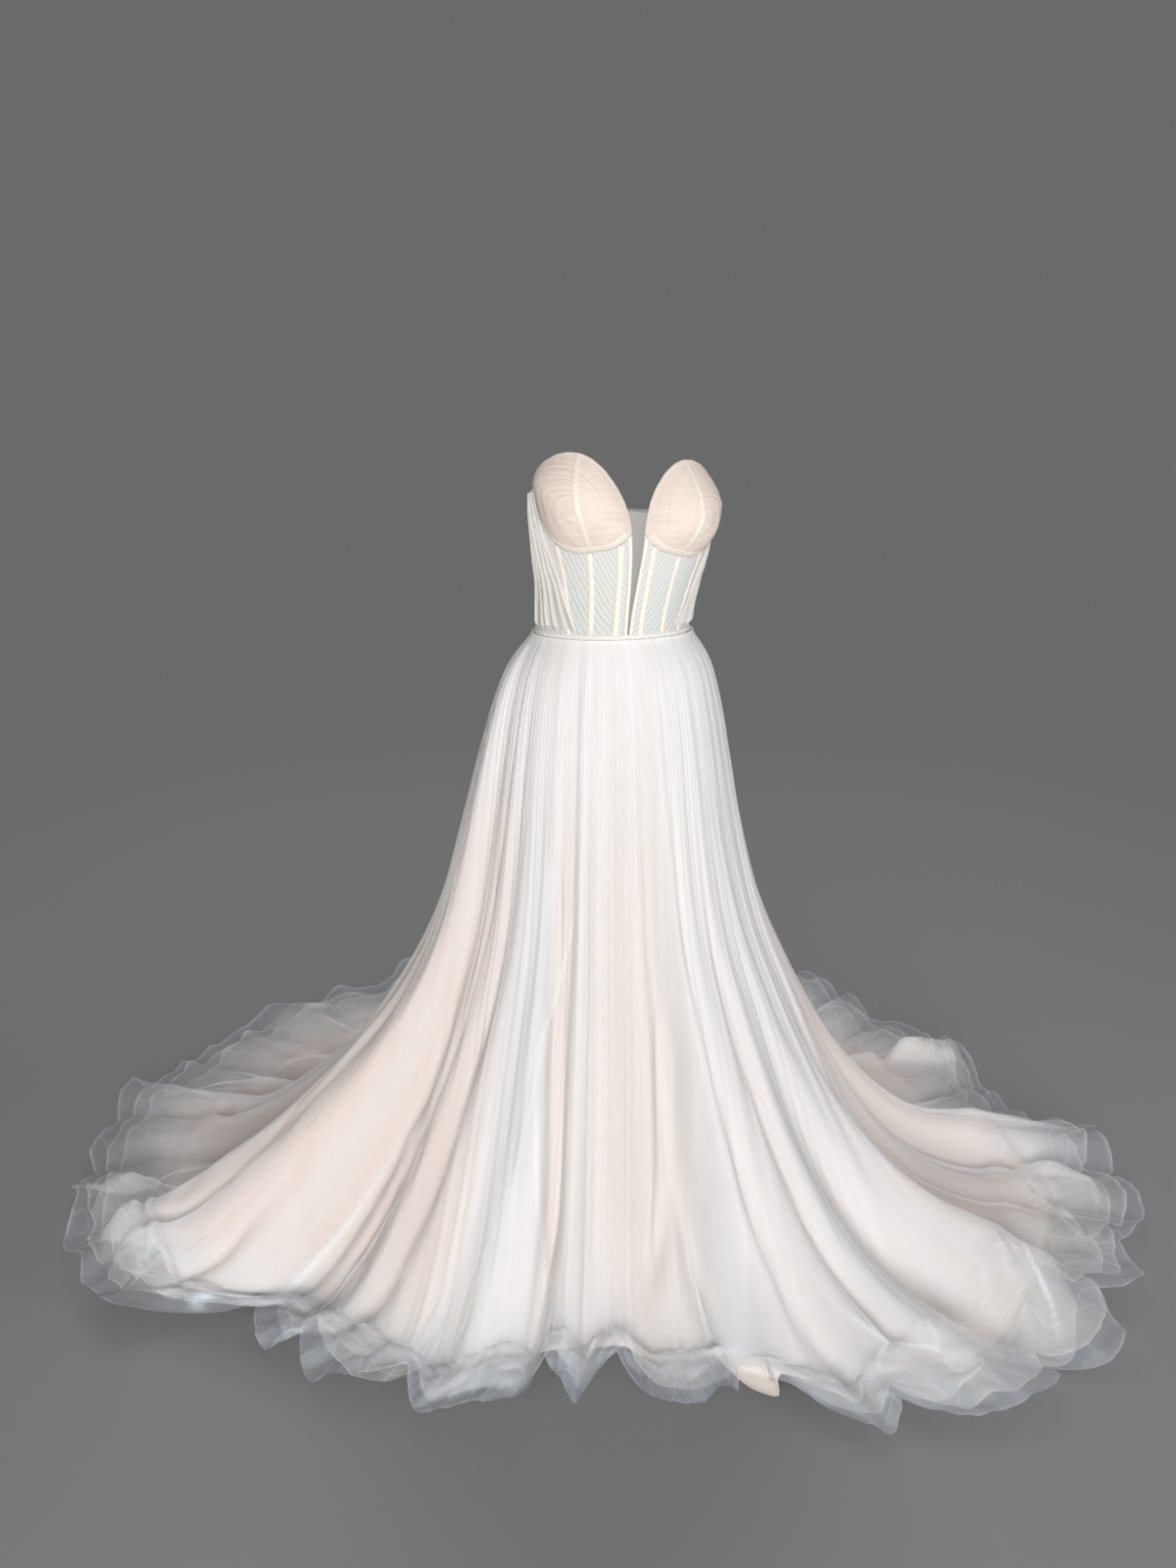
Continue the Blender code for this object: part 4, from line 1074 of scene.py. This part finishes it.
for side, hand in HANDS:
    turn = np.linspace(0, 1, CUP_COLUMNS, endpoint=False)[None, :]
    outer = np.linspace(0, 1, CUP_OUTER) ** 0.85
    inner = outer[::-1][:: CUP_OUTER // CUP_INNER]
    spread = np.concatenate([outer, [RIM_SPREAD, RIM_SPREAD], inner])[:, None]
    depth = np.concatenate([0 * outer, RIM_DEPTHS, 0 * inner - CUP_WALL])[:, None]
    outside = (np.arange(len(spread)) < CUP_OUTER)[:, None]
    upper = ease(cup_outline(turn)[1], 0.20, 0.23)
    rolled = 0.0007 * np.exp(-((spread - 0.972) / 0.012) ** 2) * upper * outside
    soft = 0.0005 * crumples(turn * 60 * np.minimum(spread, 1), spread * 9, 5 + side) * outside * (
        1 - spread ** 6).clip(0, 1)
    points, bearing, height = cup_points(side, turn, spread, depth + rolled + soft)
    arc = np.radians(bearing) * MEAN_RADIUS
    low_inner = ease(0.215 - height, 0.0, 0.05) * ease(42 - bearing, -12, 14)
    marks = {"pleated": 0.35 + 0.65 * low_inner,
             "pale": np.exp(-((np.minimum(spread, 1) - 1) / 0.022) ** 2) * (0.35 + 0.5 * upper)}
    flat = np.stack([arc + 0 * height, height + 0.10 * arc + 0.004 * waves(arc * 40, 9)], axis=-1)
    cup = lay_cloth(f"cup_cover_{hand}", points, flat, cup_cover, marks, loop=True, outward=side > 0)
    weld(cup)
    stand_for(cup, "cup", f"cup_{hand}")
    print(cup.name, len(cup.data.polygons) * 2, "triangles")

# %% [markdown]
# ## Bodice panels
# Between the bones the net is laid in narrow bias pleats that run down towards the centre front.
# One pleat is a small step about 9 mm wide. The grid is finer than that, so the pleats are real
# relief, and the attribute `crease` places painted shade at the foot of each step. The panels
# pass a little light.


# %% Panels
PLEAT_WIDTH, PLEAT_RISE = 0.0088, 0.0011
BIAS_SLOPE, BIAS_BEND = 0.62, 4.2    # how the pleats slant, and how much steeper they get behind


def bias_pleats(arc, height, seed):
    """Height of the pleats, and how deep in a crease each point lies, where the finish paints shade."""
    slope = BIAS_SLOPE * arc + BIAS_BEND * arc ** 2
    across = (height - slope) / (1 + (BIAS_SLOPE + 2 * BIAS_BEND * arc) ** 2) ** 0.5
    across = (across + 0.0008 * waves(arc * 60 + height * 30, seed)
              + 0.0011 * waves(height * 55, seed + 1))
    count, phase = np.floor(across / PLEAT_WIDTH), (across / PLEAT_WIDTH) % 1.0
    step = (1 - phase) * ease(phase, 0.0, 0.22)
    deep = 0.75 + 0.25 * np.sin(count * 2.4 + seed)
    return PLEAT_RISE * step * deep, deep * np.exp(-(np.minimum(phase, 1 - phase) / 0.17) ** 2)


def bodice_net_finish(name, base, darker_colour, cover):
    """Net that stops this share of the light, with painted shade where its crease mark is high, as at
    the foot of each pleat, and a random mottle from its hair grain.
    """
    finish = Finish(name)
    thread, hair = finish.holes(0.0022), finish.noise(160.0, 160.0, 2.0, 3)
    # painted shade where the crease mark is high, mixed with a random mottle from the hair grain
    painted_shade_and_mottle = (finish.mark("crease") * 0.8 + (hair - 0.5) * 0.5).clamped()
    relief = (thread * 0.06 + hair, 0.25, 0.0003)
    return finish.cloth(finish.mix(painted_shade_and_mottle, base, darker_colour), 0.9, 0.1, relief=relief, glow=0.2,
                        cover=(thread * 0.04 + cover).clamped())


# the second colour of each net is painted shade at its creases, and also the colour of its random mottle
panel_net = bodice_net_finish("pleated_net", srgb(222, 223, 220), srgb(190, 194, 194), 0.95)
drape_net = bodice_net_finish("draped_net", srgb(234, 231, 227), srgb(176, 172, 168), 0.96)
sheer_net = bodice_net_finish("sheer_net", srgb(196, 197, 196), srgb(170, 171, 171), 0.42)


def panel_top(bearing):
    line = CUP_LOWER + TOP_EDGE[1:]
    return along(line, bearing, "height", 1.0) - CUP_CLEAR


def plunge_bearing(height):
    return blend(PLUNGE_FOOT, CUP_LOWER[0].bearing, np.minimum(height / CUP_LOWER[0].height, 1.0))


Bone = namedtuple("Bone", "name top foot width")
BONES = [Bone("edge", 5.4, 1.9, 0.0055), Bone("inner", 11.2, 9.3, 0.0085),
         Bone("middle", 32.0, 27.5, 0.0085), Bone("outer", 58.0, 45.0, 0.0085)]
MIDDLE_BONE = BONES[2]


def bone_bearing(bone, height, top_height):
    return blend(bone.foot, bone.top, np.clip(height / top_height, 0, 1) ** 1.4)


SEAM_GAP = 0.07                      # degrees between neighbouring panels at a seam
PANEL_GRIDS = {"front": (96, 150), "side": (110, 130), "back": (100, 80)}      # columns, rows


def panel_grid(name, columns, rows):
    """Bearings and heights of one bodice panel, rows x columns."""
    share, down = np.linspace(0, 1, columns)[None, :], np.linspace(0, 1, rows)[:, None]
    first, last = {"front": (CUP_LOWER[0].bearing, MIDDLE_BONE.top),
                   "side": (MIDDLE_BONE.top, SIDE_SEAM),
                   "back": (SIDE_SEAM + SEAM_GAP, 180.0 - SEAM_GAP)}[name]
    height = blend(panel_top(blend(first, last, share)), BODICE_FOOT, down)
    seam = bone_bearing(MIDDLE_BONE, height, panel_top(MIDDLE_BONE.top))
    start = {"front": plunge_bearing(height), "side": seam + SEAM_GAP, "back": first}[name]
    end = {"front": seam - SEAM_GAP, "side": SIDE_SEAM - SEAM_GAP, "back": last}[name]
    return blend(start, end, share), height


panel_pieces = {}
for side, hand in HANDS:
    for name, (columns, rows) in PANEL_GRIDS.items():
        bearing, height = panel_grid(name, columns, rows)
        arc = np.radians(bearing) * MEAN_RADIUS
        pleat, crease = bias_pleats(np.minimum(arc, 0.26), height, 12 + side)
        border = np.minimum(height - BODICE_FOOT, 0.006) / 0.006
        points = body_points(side * bearing, height, 0.0003 + pleat * border)
        flat = np.stack([arc + 0 * height, height + 0 * arc], axis=-1)
        # crease places painted shade at the foot of each pleat
        piece = lay_cloth(f"{name}_net_{hand}", points, flat, panel_net, {"crease": crease},
                          outward=side > 0)
        stand_for(piece, "bodice_net", f"{name}_panel_{hand}")
        panel_pieces[piece.name] = (piece, points)
print("panels:", ", ".join(panel_pieces))

# %% [markdown]
# ## Bones and tapes
# Boning channels and the tapes on the cups are narrow woven strips, stitched near both edges.
# Each is a strip of cloth with a slightly crowned section, so that light runs along it.


# %% Strips of tape
STRIP_COLUMNS, STRIP_MIDDLE = 11, 5


def lay_tape(name, node, points, aside, outward):
    """Woven tape over rows of points, where aside is each column's distance from its middle."""
    steps = length_along(points[:, STRIP_MIDDLE])[:, None]
    flat = np.stack([aside + 0 * steps, steps + 0 * aside], axis=-1)
    tape = lay_cloth(name, points, flat, cream_tape, outward=outward)
    stand_for(tape, "tape", node)
    return tape


def lay_strip(name, node, bearing, height, width, lift, side, crown=0.0011):
    """A strip whose middle line has these bearings and heights."""
    across = np.linspace(-1, 1, STRIP_COLUMNS)[None, :]
    aside = np.degrees(across * width / 2 / MEAN_RADIUS)
    out = lift + crown * (1 - across ** 4) - 0.0004 * np.abs(across) ** 8
    points = body_points(side * (bearing[:, None] + aside), height[:, None], out)
    return lay_tape(name, node, points, across * width / 2, side > 0), points


for side, hand in HANDS:
    on_panel = {"front": [], "side": []}
    for bone in BONES:
        top = float(panel_top(bone.top)) - 0.0012
        height = np.linspace(top, BODICE_FOOT + 0.0003, 60)
        bearing = bone_bearing(bone, height, top)
        strip, _ = lay_strip(f"channel_{bone.name}_{hand}", f"bone_{bone.name}_{hand}", bearing,
                             height, bone.width * 1.25, PANEL_WALL + ON_PANEL, side)
        on_panel["side" if bone.name == "outer" else "front"].append(strip)
    for name in PANEL_GRIDS:
        piece, points = panel_pieces[f"{name}_net_{hand}"]
        area = cloth_area(points)

# %% Tapes on the cups
CAD_COLUMNS = 28                     # the tape and the channel end at these columns of the CAD cup
TAPE_WIDTH, TAPE_CUT = 0.0095, 0.0125
TAPE_TOP, TAPE_FOOT, WIRE_END = 38.0, 32.0, 74.0         # bearings where they end
WIRE_SPREAD = (0.868, 0.992)         # the two sides of the channel, 1 at the cup's edge


def column_at(bearing, is_upper):
    """Turn of the CAD cup's column nearest to a bearing, on its upper or on its lower edge."""
    turns = np.arange(CAD_COLUMNS) / CAD_COLUMNS
    bearings, heights = cup_outline(turns, 0.0)
    elsewhere = (heights > CUP_MIDDLE.height) != is_upper
    return float(turns[np.argmin(np.abs(bearings - bearing) + 1000 * elsewhere)])


for side, hand in HANDS:
    spread = np.linspace(-0.995, 0.985, 90)
    high, low_end = cup_outline(column_at(TAPE_TOP, True)), cup_outline(column_at(TAPE_FOOT, False))
    edge_bearing = np.where(spread < 0, high[0], low_end[0])
    edge_height = np.where(spread < 0, high[1], low_end[1])
    bearing = blend(CUP_MIDDLE.bearing, edge_bearing, np.abs(spread))
    height = blend(CUP_MIDDLE.height, edge_height, np.abs(spread))
    lift = (CUP_SEAT + CUP_DEPTH * (1 - spread ** 2) + 0.0004)[:, None]
    strip, points = lay_strip(f"cup_tape_{hand}", f"cup_seam_tape_{hand}", bearing, height,
                              TAPE_WIDTH, lift, side, crown=0.0009)
    length = line_length(points[:, STRIP_MIDDLE])

    turn = np.linspace(0.004, column_at(WIRE_END, False), 140)
    across = np.linspace(0, 1, STRIP_COLUMNS)[None, :]
    crown = 0.0004 + 0.0012 * (1 - (2 * across - 1) ** 4)
    points, _, _ = cup_points(side, turn[:, None], blend(*WIRE_SPREAD, across), crown)
    length, area = line_length(points[:, STRIP_MIDDLE]), cloth_area(points)
    wire = lay_tape(f"wire_channel_{hand}", f"underwire_channel_{hand}", points,
                    (across - 0.5) * TAPE_WIDTH, side < 0)
    max(TAPE_CUT, 1.03 * area / length)
    print(strip.name, wire.name, round(length, 3), "m")

# %% [markdown]
# ## Side drapes
# Loose net is gathered under each arm and swept forward and down to the front waist. On the
# wearer's right it falls in a few full rolls, and on the left in many small ruched ones. A roll
# of soft net is round on top and narrow in its valley, as in the skirt.

# %% Drapes
DrapeEdge = namedtuple("DrapeEdge", "share upper_bearing upper_height lower_bearing lower_height")
DRAPE = [
    DrapeEdge(0.00, 81.0, 0.2230, 98.0, 0.2140), DrapeEdge(0.30, 72.5, 0.1660, 96.0, 0.1660),
    DrapeEdge(0.55, 62.0, 0.1240, 94.0, 0.1100), DrapeEdge(0.75, 53.0, 0.0750, 92.0, 0.0620),
    DrapeEdge(1.00, 37.0, 0.0045, 90.0, 0.0045),
]
DRAPE_FOLDS = {"left": (13, 0.0040), "right": (6, 0.0075)}      # how many, and how high in metres
for side, hand in HANDS:
    folds, fold_height = DRAPE_FOLDS[hand]
    across, down = np.linspace(0, 1, 150)[None, :], np.linspace(0, 1, 110)[:, None]
    edge = {name: along(DRAPE, down, name, 0.06) for name in DrapeEdge._fields[1:]}
    bearing = blend(edge["upper_bearing"], edge["lower_bearing"], across)
    height = blend(edge["upper_height"], edge["lower_height"], across)
    uneven = across + 0.035 * waves(across * 9 + down * 2.5, 21 + side)
    place = folds * uneven + 0.25 * waves(down * 3.0, 22)
    roll = 1 - np.abs(np.sin(pi * place)) ** 1.6
    strength = 0.72 + 0.28 * waves(np.floor(place + 0.5) * 2.1 + down * 2.2, 23 + side)
    fine = 0.0005 * waves(across * folds * 2 * pi * 3.1 + down * 4, 24 + side, 4)
    at_edge = ease(np.minimum(across, 1 - across), 0.0, 0.05) * ease(1 - down, 0.0, 0.05)
    swell = 0.35 + 0.65 * np.sin(pi * np.minimum(down, 0.8))
    out = blend(0.0018, 0.0034 + fold_height * roll * strength * swell + fine, at_edge)
    points = body_points(side * bearing, height, out)
    flat = np.stack([across * 0.30 + 0 * down, 0 * across - down * 0.26], axis=-1)
    # crease puts painted shade in the valleys between the rolls
    drape = lay_cloth(f"draped_net_{hand}", points, flat, drape_net, {"crease": (1 - roll) ** 2 * 0.9},
                      outward=side > 0)
    stand_for(drape, "bodice_net", f"side_drape_{hand}")
    area = cloth_area(points)

# %% [markdown]
# ## Plunge inset and waist tape
# One layer of sheer net closes the plunge and lets the inside show through. The waist tape is the
# seam that joins bodice and skirt, covered in net and slightly uneven where gathers pull on it, with
# painted shade in those pulls.

# %% Inset
INSET_DEPTH = (0.0006, 0.0024)
UNDER_EDGE = 0.006 / 0.105           # radians by which the inset reaches under the plunge's edges
across, down = np.linspace(-1, 1, 24)[None, :], np.linspace(0, 1, 70)[:, None]
height = blend(INSET_TOP, BODICE_FOOT, down) + 0 * across
half = plunge_bearing(np.minimum(height, CUP_LOWER[0].height)) + np.degrees(UNDER_EDGE)
depth = blend(*INSET_DEPTH, height / INSET_TOP) + 0.0003
points = body_points(half * across, height, -depth)
flat = np.stack([half * across * 0.0026, height], axis=-1)
inset = lay_cloth("sheer_inset", points, flat, sheer_net, {"crease": 0.0})
stand_for(inset, "sheer_net", "plunge_inset")
cloth_area(points)
print("inset:", len(inset.data.polygons) * 2, "triangles")

# %% Waist tape
BAND_HALF, BAND_CUT, PULL = 0.0036, 0.0120, 0.00025      # metres; PULL is what gathers tug at it
turn = np.linspace(0, 360, 360, endpoint=False)[None, :]
rise = np.linspace(1, -1, 9)[:, None]
pull = PULL * waves(np.radians(turn) * 40, 41) + 0.0002 * waves(np.radians(turn) * 90, 42)
out = 0.0006 + 0.0012 * (0.5 - 0.5 * rise) + 0.0005 * (1 - rise ** 4) + 0.0003 * pull / PULL
points = body_points(turn, BAND_HALF * rise + 0 * turn + pull * (1 - rise ** 2), out)
flat = np.stack([0.0033 * rise + 0 * turn, np.radians(turn) * 0.117 + 0 * rise], axis=-1)
# painted shade where the gathers pull the band into small wrinkles
marks = {"crease": 100 * np.abs(pull) * np.abs(rise)}
tape = lay_cloth("waist_band", points, flat, drape_net, marks, loop=True)
stand_for(tape, "ivory_net", "waist_tape")
length = line_length(points[4]) + 0.002
cloth_area(points)
print("waist band, round", round(length, 3), "m")

# %% [markdown]
# ## Size against the CAD model
# How far the gown reaches past the CAD model's box is printed, in millimetres. The gown must
# stay inside the CAD model's box, apart from a little that cloth may stand proud.

# %% Write the two boxes and finish
low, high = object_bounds()
print("outside the CAD box by, mm:", [round(1000 * (a - b), 1) for a, b in zip(cad_low, low)],
      [round(1000 * (b - a), 1) for a, b in zip(cad_high, high)])
